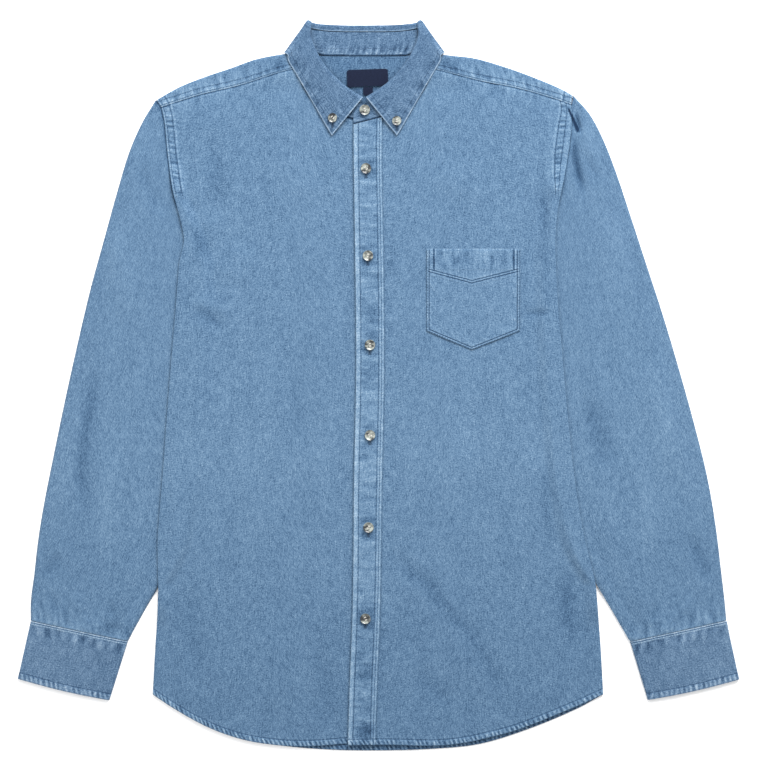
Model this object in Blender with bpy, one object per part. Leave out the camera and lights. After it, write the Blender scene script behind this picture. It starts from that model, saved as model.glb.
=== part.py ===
# A long-sleeved denim shirt with a button-down collar, laid flat on its back.
# +Z is up from the table, +Y points to the collar and +X to the wearer's left.
# Sizes below are millimetres; MM turns them into metres when a mesh is made.
from collections import namedtuple
from math import cos, pi, radians, sin

import bmesh
import bpy
import numpy as np

MM = 0.001

ORIGIN = (-0.5, 1.1)   # middle of the laid-out shirt in the tables' own x and y

# Cloth and seams
CLOTH = 1.2            # wall of one layer of denim
STAND_CLOTH = 1.6      # collar stand: two layers and a stiffener
COLLAR_CLOTH = 1.8     # collar fall: two layers and a stiffener
CUFF_CLOTH = 1.8       # cuff: two layers and a stiffener
LABEL_CLOTH = 1.0      # woven tape
SEAM = 0.3             # air between neighbouring pieces
LAY_CLEAR = 0.5        # air under a piece that lies on a sloping one

# How the layers lie on each other
TUBE_HEIGHT = 3.6      # sleeve pressed flat
SLEEVE_LOFT = 1.8      # extra height along the middle of a sleeve
FRONT_GAP_EDGE = 0.9   # air between back and front near a seam
FRONT_LOFT = 1.3       # extra air in the middle of the chest
PRESSED_GAP = 0.4      # air under the right front where the placket covers it
SLEEVE_LIFT = 4.0      # body raised by the sleeve tucked under it
TUCK_MARGIN = 3.0      # the body stays raised this far past the sleeve
TUCK_RAMP = 14.0       # and comes down to the table over this width
FALL_LIFT = 2.1        # yoke raised by the collar fall folded under it

# Where the layers start and stop, in the tables' own x and y
LIFT_TOP = 255.0       # the tucked sleeves raise the body below this level
LIFT_TOP_RAMP = 42.0
LIFT_BOTTOM = -270.0   # and above this one
LIFT_BOTTOM_RAMP = 35.0
FALL_REACH = 142.0     # the collar fall raises the yoke this far from the neck's middle
FALL_SIDE_RAMP = 51.0
FALL_START = 321.0     # and above this level
FALL_RAMP = 27.0
LOFT_IN = 55.0         # the chest's loft builds up over this distance from a side
LOFT_DOWN = 60.0       # and over this distance below the shoulder
FOLD_INSET = 4.0       # folds of the fronts start this far inside a side
FOLD_RAMP = 18.0
FOLD_FADE = 0.35       # share of a fold's length over which each end fades
SIDE_ROLL = 2.4        # width of the rounded body side
UNDERARM = 213.0       # the side is rounded below this level
UNDERARM_RAMP = 20.0
PRESSED_REACH = 30.0   # the right front dips this far before the placket's free edge
PRESSED_RAMP = 24.0
TUCK_LEAST = 8.0       # least width of sleeve under the body
SEAM_HIDDEN = [206, 181, 161]   # levels of the armhole seam that the body covers
SLEEVE_FREE = -232.0   # the sleeve is clear of the body below this level
SLEEVE_ROUND = 26.0    # a sleeve's upper face rounds over at this distance from a fold
SLEEVE_SHADE = 9.0     # and stays flat this far out from the body lying on it

# How the grids of the panels run
HEM_BEND = -190.0      # rows below this level bend towards the hem
SHOULDER_BEND = 205.0  # rows above this level bend towards the shoulder
NECK_BEND = 225.0      # columns above this level lead to the neckline
NECK_COLUMNS = 5       # columns between a side and the neck point
MIDDLE_COLUMNS = 9     # columns across the middle of the back
STRIP_COLUMNS = 4      # columns under the placket
UNDERLAP_COLUMNS = (-8.0, 10.0)   # right front's columns beside the placket's free edge
UNDERLAP_INSET = 4.0   # and its own edge, inside the placket's sewn edge
POCKET_POINTS = 7      # points along and across the pocket
LABEL_POINTS = 4       # points along and across a label

# Collar roll
NECK_X = -16.0         # middle of the collar
ROLL = 1.2             # radius of the collar's fold, at mid wall
FOLD_LEVEL = 4.5       # height about which the collar turns at each side
FOLD_SWING = 3.6       # radius of that turn
LIP = 5.0              # width of the collar that shows inside, above the stand
STAND_SWING = 1.0      # radius of the stand's own turn at the shoulder
STAND_LEVEL = 3.9
ROLL_TURNS = (36, 72, 108, 144)
LEAF_CROWN = 0.9       # a leaf bows up this much at its middle
STAND_ON_YOKE = 0.9    # middle of the stand's wall above the yoke's underside
STAND_INSET = 0.4      # stand inside the neckline, past the seam
STAND_SHARES = (0.0, 0.33, 0.67, 1.0)
NECK_DIP = (2.2, 2.6)  # yoke's neckline below the neck points: at the sides, and more behind

# Buttons
BUTTON_WIDTH = 11.4
BUTTON_HEIGHT = 2.6
COLLAR_BUTTON_WIDTH = 10.0
BUTTON_SIDES = 16
BUTTON_PROFILE = [(0.0, 0.0), (0.78, 0.0), (1.0, 0.38), (0.95, 0.8), (0.8, 1.0),
                  (0.62, 0.78), (0.0, 0.66)]   # share of the radius, share of the height
BUTTON_SEAT = 0.4      # air under a button

# Body side edges, from armhole to hem: x of the wearer's right and left side.
Side = namedtuple("Side", "y right left")
BODY_SIDES = [
    Side(317, -244.5, 213.0), Side(307, -239.5, 211.2), Side(293, -236.3, 212.3),
    Side(266, -233.6, 209.8), Side(238, -230.2, 205.2), Side(213, -226.0, 199.8),
    Side(190, -219.8, 195.9), Side(161, -214.0, 193.6), Side(137, -218.8, 193.9),
    Side(95, -222.2, 196.1), Side(40, -227.0, 200.7), Side(-30, -232.5, 206.9),
    Side(-105, -237.9, 215.1), Side(-169, -242.9, 226.1), Side(-217, -242.3, 237.6),
    Side(-240, -242.8, 239.8), Side(-284, -245.6, 243.4), Side(-338, -248.6, 246.4),
]

# Edge of the sleeve hidden under the body, from underarm to where it comes out.
Tuck = namedtuple("Tuck", "y right left")
SLEEVE_TUCK = [
    Tuck(206, -224.4, 198.3), Tuck(181, -212.3, 190.3), Tuck(161, -204.6, 187.0),
    Tuck(137, -199.1, 185.9), Tuck(112, -196.9, 185.9), Tuck(53, -197.5, 187.6),
    Tuck(-21, -200.8, 192.0), Tuck(-103, -207.4, 200.2), Tuck(-141, -212.9, 206.8),
    Tuck(-178, -221.7, 216.7), Tuck(-217, -240.9, 239.0),
]

# Levels at which every body panel has a row of points, shoulder to hem.
LEVELS = [307, 293, 280, 266, 251, 238, 225, 213, 199, 181, 161, 137, 112, 79, 40, -4,
          -48, -92, -134, -169, -197, -217, -235, -255, -284, -338]
YOKE_BACK = 266        # level of the yoke seam across the back

# Rows of the yoke's back layer: their level at the armhole and at the neck.
YokeRow = namedtuple("YokeRow", "armhole neck")
YOKE_LEVELS = [YokeRow(266, 266), YokeRow(273, 285), YokeRow(280, 303), YokeRow(286.5, 321),
               YokeRow(293, 334), YokeRow(300, 348), YokeRow(307, 357), YokeRow(313.5, 366)]

# Shoulder folds of the yoke and its front seams, from armhole to neck.
Shoulder = namedtuple("Shoulder", "x y")
FOLD_RIGHT = [Shoulder(-244.5, 315.0), Shoulder(-221, 328.4), Shoulder(-197, 338.3),
              Shoulder(-158, 351.5), Shoulder(-119, 364.0), Shoulder(-103, 364.8),
              Shoulder(-82, 367.5)]
FOLD_LEFT = [Shoulder(213, 319.6), Shoulder(206, 324.0), Shoulder(182, 335.0),
             Shoulder(150, 347.1), Shoulder(111, 359.2), Shoulder(90, 363.0),
             Shoulder(70, 364.2), Shoulder(50, 367.5)]
YOKE_SEAM_RIGHT = [Shoulder(-239.5, 307.0), Shoulder(-197, 320.6), Shoulder(-155, 330.6),
                   Shoulder(-100, 347.5), Shoulder(-90.2, 349.3)]
YOKE_SEAM_LEFT = [Shoulder(211.2, 310.0), Shoulder(193, 316.3), Shoulder(150, 328.4),
                  Shoulder(115.5, 335.0), Shoulder(71.5, 346.0), Shoulder(58.3, 349.3)]
NECK_POINT_RIGHT = (-82.0, 367.5)
NECK_POINT_LEFT = (50.0, 367.5)

# Front neckline from the yoke seam to the centre front.
Neck = namedtuple("Neck", "x y")
NECKLINE_RIGHT = [Neck(-90.2, 349.3), Neck(-83.6, 330.6), Neck(-71.5, 314.1),
                  Neck(-53.9, 302.0), Neck(-35.2, 295.5), Neck(-20.0, 291.8),
                  Neck(-4.0, 288.5)]
NECKLINE_LEFT = [Neck(58.3, 349.3), Neck(51.7, 330.6), Neck(39.6, 314.6),
                 Neck(22.5, 303.1), Neck(3.3, 296.1), Neck(-7.2, 293.4),
                 Neck(-17.6, 290.7), Neck(-28.0, 288.0)]

# Placket strip: free edge and sewn edge, collar to hem.
Strip = namedtuple("Strip", "y free sewn")
PLACKET = [
    Strip(300, -28.0, 2.2), Strip(227, -27.5, 3.3), Strip(150, -26.4, 4.7),
    Strip(62, -25.3, 5.5), Strip(7, -25.3, 5.5), Strip(-101, -27.5, 3.3),
    Strip(-235, -29.2, 1.0), Strip(-301, -33.0, -2.8), Strip(-395, -35.6, -5.1),
]

# Lower edges. The back shows a little below the fronts.
Hem = namedtuple("Hem", "x y")
HEM_BACK = [
    Hem(-249, -338), Hem(-228, -352), Hem(-188, -374), Hem(-150, -388), Hem(-109, -394.5),
    Hem(-56, -399), Hem(0, -400), Hem(63, -398), Hem(105, -394), Hem(142, -383.5),
    Hem(195, -365), Hem(221, -352.5), Hem(247, -338),
]
HEM_RIGHT = [Hem(-249, -338), Hem(-228, -352), Hem(-188, -374), Hem(-150, -387.5),
             Hem(-109, -394), Hem(-82, -395), Hem(-36, -392.5), Hem(0, -391)]
HEM_LEFT = [Hem(-36, -393.8), Hem(1, -393.3), Hem(79, -393.3), Hem(129, -383.4),
            Hem(156, -375.7), Hem(184, -364.7), Hem(221, -349.5), Hem(247, -338)]

# Sleeve rings: outer fold and inner fold, armhole to cuff.
Ring = namedtuple("Ring", "outer_x outer_y inner_x inner_y")
SLEEVE_RIGHT = [
    Ring(-245.0, 315.0, -199.1, 137.0), Ring(-259.6, 291.0, -196.9, 111.7),
    Ring(-273.9, 259.1, -196.9, 82.0), Ring(-287.1, 216.2, -197.5, 51.0),
    Ring(-301.4, 164.5, -198.6, 16.0), Ring(-316.8, 108.4, -200.8, -22.6),
    Ring(-331.1, 47.9, -203.5, -62.2), Ring(-344.3, -11.6, -207.4, -102.9),
    Ring(-356.4, -69.9, -212.9, -141.4), Ring(-367.4, -124.9, -221.7, -177.7),
    Ring(-374.6, -168.9, -240.9, -217.3), Ring(-379.0, -207.4, -256.3, -243.7),
    Ring(-382.5, -234.9, -267.3, -263.5), Ring(-382.7, -257.0, -275.8, -279.6),
]
SLEEVE_LEFT = [
    Ring(213.4, 319.6, 185.9, 137.0), Ring(231.0, 299.8, 185.9, 111.7),
    Ring(246.4, 271.2, 186.7, 82.0), Ring(260.7, 234.9, 187.6, 51.0),
    Ring(277.2, 185.4, 189.5, 16.0), Ring(293.7, 134.8, 192.0, -22.6),
    Ring(311.3, 80.9, 195.8, -62.2), Ring(330.0, 18.2, 200.2, -102.9),
    Ring(346.5, -41.3, 206.8, -141.4), Ring(360.8, -99.6, 216.7, -177.7),
    Ring(370.7, -157.9, 239.0, -218.4), Ring(376.2, -204.1, 254.1, -243.7),
    Ring(379.8, -234.9, 266.2, -264.6), Ring(381.8, -256.7, 275.7, -280.1),
]
ARMHOLE_PULL = [1.0, 0.55, 0.25, 0.08]     # how far rings follow the armhole's curve
CUFF_RIGHT = [Ring(-382.8, -257.5, -275.9, -280.1), Ring(-397.0, -320.9, -296.2, -344.6)]
CUFF_LEFT = [Ring(381.9, -257.2, 275.8, -280.6), Ring(396.0, -321.6, 295.2, -344.3)]
CUFF_STEPS = 5
CUFF_HEIGHT = 4.4
CUFF_LOFT = 1.2
CUFF_SAG = 1.6         # the cuff's edge bows out this much at its middle
CUFF_COLUMNS = 11
CUFF_ROUND = 40.0      # the cuff's loft builds up over this distance from a fold
CUFF_LOFT_FADE = 0.5   # share of the loft lost at the cuff's edge

# Collar stations from the middle of the back round to the tip of a leaf, measured
# from NECK_X: the visible fold, the outer edge, and how high the fold stands.
Station = namedtuple("Station", "fold_x fold_y edge_x edge_y height")
COLLAR_BACK = [Station(0, 397.1, 0, 351.5, 0), Station(-25, 397.2, -26, 351.8, 0),
               Station(-44, 398.2, -54, 354.5, 0)]
COLLAR_SIDE = Station(-62.1, 403.2, -88.5, 366.9, 0)
SIDE_TURNS = [-90, -54, -18, 18, 54, 90]
COLLAR_FRONT = [
    Station(-58.5, 386.0, -83.5, 357.5, 8.5), Station(-53.3, 370.2, -72.5, 338.8, 9.5),
    Station(-42.3, 351.5, -60.4, 317.9, 10.0), Station(-28.0, 336.0, -48.9, 298.1, 9.8),
    Station(-13.7, 325.0, -40.1, 282.7, 9.2), Station(-1.3, 317.5, -35.7, 275.6, 8.6),
]
UNDERLAP_DROP = [0, 0, 0, 0, 0.9, 1.7]     # the wearer's right side passes underneath
StandEnd = namedtuple("StandEnd", "x y top_z bottom_z")
STAND_END_OVER = [StandEnd(-23.0, 306.0, 5.6, 4.7), StandEnd(-28.0, 299.6, 5.3, 4.4)]
STAND_BACK = [(0, 363.4), (-25, 363.6), (-47, 364.6)]   # lower edge behind the neck
STAND_SIDE = (1.6, 3.4)        # turn at the shoulder, out from the neck point
STAND_OUTWARD = (-0.95, 0.31)  # way that turn faces
STAND_END_UNDER = [StandEnd(-10.0, 307.5, 3.5, 2.2), StandEnd(-3.4, 300.0, 2.9, 2.2)]
LEAF_SPREAD = [0.0, 0.2, 0.45, 0.72, 1.0]

# Chest pocket: corners, with its pointed bottom.
POCKET_LEFT_X = 52.2
POCKET_RIGHT_X = 154.5
POCKET_TOP = 151.3
POCKET_SIDE_BOTTOM = 61.0
POCKET_POINT = (101.9, 40.2)
POCKET_LOFT = 0.5

# Neck labels, both bare: a tape sewn under the collar and a small tab below it.
LABEL_SIZE = (45.0, 18.5)
LABEL_AT = (-12.6, 339.0)
LABEL_TURN = 2.0
TAB_SIZE = (10.5, 8.6)
TAB_AT = (-12.0, 324.6)

# Broad folds in the fronts: a soft ridge (up) or trough (down) from one end to the other.
Fold = namedtuple("Fold", "x1 y1 x2 y2 width height")
FRONT_FOLDS = [
    Fold(-206, 134, -178, 196, 26, 1.1), Fold(-208, 96, -160, 78, 24, 0.9),
    Fold(-150, 160, -168, 110, 44, 0.8), Fold(60, -220, 130, -360, 40, 0.9),
    Fold(28, -186, 92, -262, 34, 0.7), Fold(170, -60, 196, -190, 36, 0.8),
    Fold(-120, -250, -112, -370, 46, 0.7), Fold(120, 250, 60, 214, 50, 0.6),
]
SLEEVE_FOLDS = [
    Fold(-310, 40, -330, -175, 22, 0.9), Fold(-350, -180, -366, -215, 18, 0.8),
    Fold(-300, 210, -262, 40, 34, 0.7), Fold(219, 296, 226, 240, 12, 0.9),
    Fold(300, 60, 322, -120, 40, 0.8), Fold(340, -170, 362, -225, 18, 0.9),
    Fold(250, 220, 262, 40, 30, 0.6),
]

# Button places: on the stand, down the placket, and on the collar points.
PLACKET_BUTTONS = [(-14.3, 239.3), (-12.1, 143.6), (-9.9, 45.7), (-9.9, -53.4),
                   (-11.6, -154.6), (-14.9, -254.7)]
STAND_BUTTON = (-15.6, 303.6)
COLLAR_BUTTONS = [(-50.8, 294.8), (19.3, 291.5)]

DENIM = (0.18, 0.31, 0.47)
NAVY = (0.02, 0.03, 0.06)
HORN = (0.42, 0.35, 0.26)


def smooth(value):
    value = np.clip(value, 0.0, 1.0)
    return value * value * (3.0 - 2.0 * value)


def along(rows, key, column, at):
    """Smooth curve through one column of a table, read at places of its key column."""
    rows = sorted(rows, key=lambda row: getattr(row, key))
    knots = np.array([getattr(row, key) for row in rows], dtype=float)
    values = np.array([getattr(row, column) for row in rows], dtype=float)
    steps = np.diff(knots)
    slopes = np.diff(values) / steps
    tangents = np.concatenate(([slopes[0]], (slopes[:-1] + slopes[1:]) / 2, [slopes[-1]]))
    at = np.clip(np.asarray(at, dtype=float), knots[0], knots[-1])
    index = np.clip(np.searchsorted(knots, at, side="right") - 1, 0, len(steps) - 1)
    width = steps[index]
    part = (at - knots[index]) / width
    rise = values[index] * (1 + 2 * part) * (1 - part) ** 2
    rise += values[index + 1] * (3 - 2 * part) * part ** 2
    rise += tangents[index] * width * part * (1 - part) ** 2
    rise -= tangents[index + 1] * width * part ** 2 * (1 - part)
    return rise


def side_x(side, y):
    return along(BODY_SIDES, "y", side, y)


def tuck_x(side, y):
    """Hidden sleeve edge; above the underarm it runs together with the body's own."""
    hidden = along(SLEEVE_TUCK, "y", side, y)
    return np.where(np.asarray(y) > SLEEVE_TUCK[0].y, side_x(side, y), hidden)


def fold_relief(folds, x, y):
    """Sum of the soft folds: each is a smooth ridge that fades out at both ends."""
    total = np.zeros(np.broadcast(x, y).shape)
    for fold in folds:
        run = np.array([fold.x2 - fold.x1, fold.y2 - fold.y1], dtype=float)
        length = np.hypot(*run)
        run /= length
        ahead = (x - fold.x1) * run[0] + (y - fold.y1) * run[1]
        aside = (y - fold.y1) * run[0] - (x - fold.x1) * run[1]
        fade = FOLD_FADE * length
        ends = smooth(ahead / fade) * smooth((length - ahead) / fade)
        total = total + fold.height * ends * np.exp(-(aside / (fold.width / 2)) ** 2)
    return total


def body_lift(x, y):
    """How far the sleeves and the collar fall raise the body off the table."""
    level = smooth((LIFT_TOP - y) / LIFT_TOP_RAMP) * smooth((y - LIFT_BOTTOM) / LIFT_BOTTOM_RAMP)
    over_right = smooth(1 - (x - tuck_x("right", y) - TUCK_MARGIN) / TUCK_RAMP)
    over_left = smooth(1 - (tuck_x("left", y) - TUCK_MARGIN - x) / TUCK_RAMP)
    over_sleeve = SLEEVE_LIFT * level * np.maximum(over_right, over_left)
    near_neck = smooth((FALL_REACH - np.abs(x - NECK_X)) / FALL_SIDE_RAMP)
    over_fall = FALL_LIFT * near_neck * smooth((y - FALL_START) / FALL_RAMP)
    return over_sleeve + over_fall


def shoulder_y(x):
    """Level of the shoulder fold above any point of the fronts."""
    right = along(FOLD_RIGHT, "x", "y", x)
    left = along(FOLD_LEFT, "x", "y", x)
    return np.where(np.asarray(x) < NECK_X, right, left)


def front_gap(x, y):
    """Air between the back and the fronts."""
    inside = np.minimum(x - side_x("right", y), side_x("left", y) - x)
    below = shoulder_y(x) - y
    loft = smooth(inside / LOFT_IN) * smooth(below / LOFT_DOWN)
    gap = FRONT_GAP_EDGE + FRONT_LOFT * loft
    gap = gap + fold_relief(FRONT_FOLDS, x, y) * smooth((inside - FOLD_INSET) / FOLD_RAMP)
    rolled = smooth((UNDERARM - y) / UNDERARM_RAMP) * smooth(1 - inside / SIDE_ROLL)
    return gap - (FRONT_GAP_EDGE - SEAM) * rolled


def front_under(x, y):
    """Underside of the front layer."""
    return body_lift(x, y) + CLOTH + front_gap(x, y)


def right_front_under(x, y):
    """The wearer's right front dips to the back where the left one covers it."""
    free = along(PLACKET, "y", "free", y)
    covered = smooth((x - free + PRESSED_REACH) / PRESSED_RAMP)
    pressed = body_lift(x, y) + CLOTH + PRESSED_GAP
    return front_under(x, y) + covered * (pressed - front_under(x, y))


def make_material(name, colour, roughness):
    material = bpy.data.materials.new(name)
    material.use_nodes = True
    shader = material.node_tree.nodes["Principled BSDF"]
    shader.inputs["Base Color"].default_value = (*colour, 1.0)
    shader.inputs["Roughness"].default_value = roughness
    shader.inputs["Metallic"].default_value = 0.0
    material.diffuse_color = (*colour, 1.0)
    return material


def make_solid(name, points, triangles, colour, roughness):
    """One closed mesh object with its faces pointing out and its own material."""
    mesh = bpy.data.meshes.new(name)
    placed = (np.asarray(points, dtype=float) - np.array([*ORIGIN, 0.0])) * MM
    mesh.from_pydata([tuple(map(float, point)) for point in placed], [], triangles)
    work = bmesh.new()
    work.from_mesh(mesh)
    if work.calc_volume(signed=True) < 0:
        bmesh.ops.reverse_faces(work, faces=work.faces[:])
    work.to_mesh(mesh)
    work.free()
    mesh.shade_smooth()
    mesh.set_sharp_from_angle(angle=radians(40))
    mesh.materials.append(make_material(name + "_surface", colour, roughness))
    bpy.context.collection.objects.link(bpy.data.objects.new(name, mesh))


def quad(a, b, c, d):
    return [(a, b, c), (a, c, d)]


def wall_solid(name, outer, inner, colour=DENIM, roughness=0.85, cells=None, closed=False):
    """Solid between two grids of points, row by row. Cells left out make a notch;
    a closed grid joins its last column to its first, as a tube does."""
    outer = np.asarray(outer, dtype=float)
    inner = np.asarray(inner, dtype=float)
    rows, columns = outer.shape[:2]
    spans = columns if closed else columns - 1
    if cells is None:
        cells = np.ones((rows - 1, spans), dtype=bool)
    count = rows * columns
    triangles = []

    def filled(row, span):
        if closed:
            span %= spans
        return 0 <= row < rows - 1 and 0 <= span < spans and cells[row, span]

    for row in range(rows - 1):
        for span in range(spans):
            if not cells[row, span]:
                continue
            after = (span + 1) % columns
            a = row * columns + span
            b = row * columns + after
            c = (row + 1) * columns + after
            d = (row + 1) * columns + span
            triangles += quad(a, b, c, d)
            triangles += quad(d + count, c + count, b + count, a + count)
            if not filled(row - 1, span):
                triangles += quad(b, a, a + count, b + count)
            if not filled(row + 1, span):
                triangles += quad(d, c, c + count, d + count)
            if not filled(row, span - 1):
                triangles += quad(a, d, d + count, a + count)
            if not filled(row, span + 1):
                triangles += quad(c, b, b + count, c + count)
    points = np.concatenate((outer.reshape(-1, 3), inner.reshape(-1, 3)))
    used = sorted({index for triangle in triangles for index in triangle})
    renumber = {old: new for new, old in enumerate(used)}
    triangles = [tuple(renumber[index] for index in triangle) for triangle in triangles]
    return make_solid(name, points[used], triangles, colour, roughness)


def lift_points(x, y, z):
    return np.stack((x, y, z), axis=-1)


def height_on(grid, x, y):
    """Height and tilt of a grid of points at a place seen from above."""
    grid = np.asarray(grid)
    best = (-1e9, np.array([0.0, 0.0, 1.0]))
    for row in range(grid.shape[0] - 1):
        for column in range(grid.shape[1] - 1):
            a, b = grid[row, column], grid[row, column + 1]
            c, d = grid[row + 1, column + 1], grid[row + 1, column]
            for corners in ((a, b, c), (a, c, d)):
                edge_1 = corners[1] - corners[0]
                edge_2 = corners[2] - corners[0]
                area = edge_1[0] * edge_2[1] - edge_1[1] * edge_2[0]
                if abs(area) < 1e-9:
                    continue
                way = np.array([x, y]) - corners[0][:2]
                part_1 = (way[0] * edge_2[1] - way[1] * edge_2[0]) / area
                part_2 = (edge_1[0] * way[1] - edge_1[1] * way[0]) / area
                if min(part_1, part_2, 1 - part_1 - part_2) < -1e-6:
                    continue
                height = corners[0][2] + part_1 * edge_1[2] + part_2 * edge_2[2]
                tilt = np.cross(edge_1, edge_2)
                tilt = tilt / np.linalg.norm(tilt) * np.sign(tilt[2])
                if height > best[0]:
                    best = (height, tilt)
    return best


# ---- body panels ---------------------------------------------------------------------

def side_offsets(side, y):
    """Distances from a body side to the columns that shape the rise over the sleeve."""
    width = np.maximum(np.abs(tuck_x(side, y) - side_x(side, y)), TUCK_LEAST)
    held = width + TUCK_MARGIN
    return [0.0 * y, 0.0 * y + SIDE_ROLL, (SIDE_ROLL + held) / 2, held,
            held + TUCK_RAMP / 2, held + TUCK_RAMP]


def level_grid(columns_at, bottom, top, levels):
    """Rows of points. columns_at(y) gives each row's x values; the lowest row follows
    bottom(x), the highest follows top(x), and the rows between ease back to level."""
    first, last = levels[0], levels[-1]
    x_top = columns_at(first)
    x_bottom = columns_at(last)
    rows = []
    for level in levels:
        x = columns_at(level)
        ease_top = smooth((level - SHOULDER_BEND) / (first - SHOULDER_BEND))
        ease_bottom = smooth((HEM_BEND - level) / (HEM_BEND - last))
        y = level + ease_top * (top(x_top) - first) + ease_bottom * (bottom(x_bottom) - last)
        rows.append(np.stack((x, y), axis=-1))
    return np.array(rows)


def front_columns(side, neckline):
    """Columns of a front: by the side, on to the neck point, then along the neckline."""
    sign = 1.0 if side == "right" else -1.0
    neck_x = np.array([point.x for point in neckline])
    top_level = LEVELS[0]

    def columns_at(y):
        y = float(y)
        start = float(side_x(side, y))
        offsets = [float(value) for value in side_offsets(side, y)]
        near = [start + sign * offset for offset in offsets]
        free = float(along(PLACKET, "y", "free", y))
        sewn = float(along(PLACKET, "y", "sewn", y))
        if side == "right":
            ends = [free + step for step in UNDERLAP_COLUMNS] + [sewn - UNDERLAP_INSET]
            wide = np.linspace(near[-1], ends[0], NECK_COLUMNS + len(neckline) - 2)
            wide = np.concatenate((wide[1:], ends[1:]))
        else:
            strip = np.linspace(sewn, free, STRIP_COLUMNS)
            wide = np.linspace(near[-1], sewn, NECK_COLUMNS + len(neckline) - 3)
            wide = np.concatenate((wide[1:], strip[1:]))
        to_neck = np.linspace(near[-1], neck_x[0], NECK_COLUMNS + 1)[1:]
        upper = np.concatenate((to_neck, neck_x[1:]))
        ease = smooth((y - NECK_BEND) / (top_level - NECK_BEND))
        return np.concatenate((near, wide + ease * (upper - wide)))

    return columns_at


def hem_of(rows):
    return lambda x: along(rows, "x", "y", x)


def front_top(side):
    """Upper edge of a front: its yoke seam, then its neckline."""
    seam = YOKE_SEAM_RIGHT if side == "right" else YOKE_SEAM_LEFT
    neckline = NECKLINE_RIGHT if side == "right" else NECKLINE_LEFT
    neck_x = seam[-1].x

    def top(x):
        on_seam = along(seam, "x", "y", x) - SEAM
        order = sorted(neckline, key=lambda row: row.x)
        on_neck = np.interp(x, [row.x for row in order], [row.y for row in order])
        past_neck = x > neck_x + 1e-6 if side == "right" else x < neck_x - 1e-6
        return np.where(past_neck, on_neck, on_seam)

    return top


def back_columns(y):
    y = float(y)
    right = [float(side_x("right", y) + offset) for offset in side_offsets("right", y)]
    left = [float(side_x("left", y) - offset) for offset in side_offsets("left", y)]
    middle = np.linspace(right[-1], left[-1], MIDDLE_COLUMNS)[1:-1]
    return np.concatenate((right, middle, left[::-1]))


def make_back():
    levels = [YOKE_BACK - SEAM] + [level for level in LEVELS if level < YOKE_BACK]
    grid = level_grid(back_columns, hem_of(HEM_BACK), lambda x: 0 * x + levels[0], levels)
    x, y = grid[..., 0], grid[..., 1]
    under = body_lift(x, y)
    wall_solid("back", lift_points(x, y, under), lift_points(x, y, under + CLOTH))


def make_front(side):
    neckline = NECKLINE_RIGHT if side == "right" else NECKLINE_LEFT
    hem = HEM_RIGHT if side == "right" else HEM_LEFT
    grid = level_grid(front_columns(side, neckline), hem_of(hem), front_top(side), LEVELS)
    x, y = grid[..., 0], grid[..., 1]
    under = right_front_under(x, y) if side == "right" else front_under(x, y)
    upper = lift_points(x, y, under + CLOTH)
    wall_solid("front_" + side, upper, lift_points(x, y, under))
    return upper


def make_placket(front_upper):
    """The button strip lies on the first columns of the left front."""
    strip = front_upper[:, -STRIP_COLUMNS:, :].copy()
    lower = strip + np.array([0.0, 0.0, SEAM])
    lower[0, :, 1] -= SEAM
    upper = lower + np.array([0.0, 0.0, CLOTH])
    wall_solid("placket", upper, lower)
    return upper


def make_pocket(front_upper):
    """Patch pocket: its points are read from the front below it, moved out."""
    across = np.linspace(POCKET_LEFT_X, POCKET_RIGHT_X, POCKET_POINTS)
    rows = []
    for share in np.linspace(0.0, 1.0, POCKET_POINTS):
        row = []
        for x in across:
            if x < POCKET_POINT[0]:
                reach = (x - POCKET_LEFT_X) / (POCKET_POINT[0] - POCKET_LEFT_X)
            else:
                reach = (POCKET_RIGHT_X - x) / (POCKET_RIGHT_X - POCKET_POINT[0])
            bottom = POCKET_SIDE_BOTTOM + reach * (POCKET_POINT[1] - POCKET_SIDE_BOTTOM)
            y = POCKET_TOP + share * (bottom - POCKET_TOP)
            middle = (x - POCKET_LEFT_X) / (POCKET_RIGHT_X - POCKET_LEFT_X)
            puff = POCKET_LOFT * sin(pi * middle) * sin(pi * min(1.0, share * 0.9 + 0.1))
            row.append((x, y, height_on(front_upper, x, y)[0] + LAY_CLEAR + puff))
        rows.append(row)
    lower = np.array(rows)
    wall_solid("pocket", lower + np.array([0.0, 0.0, CLOTH]), lower)


# ---- yoke ----------------------------------------------------------------------------

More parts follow.
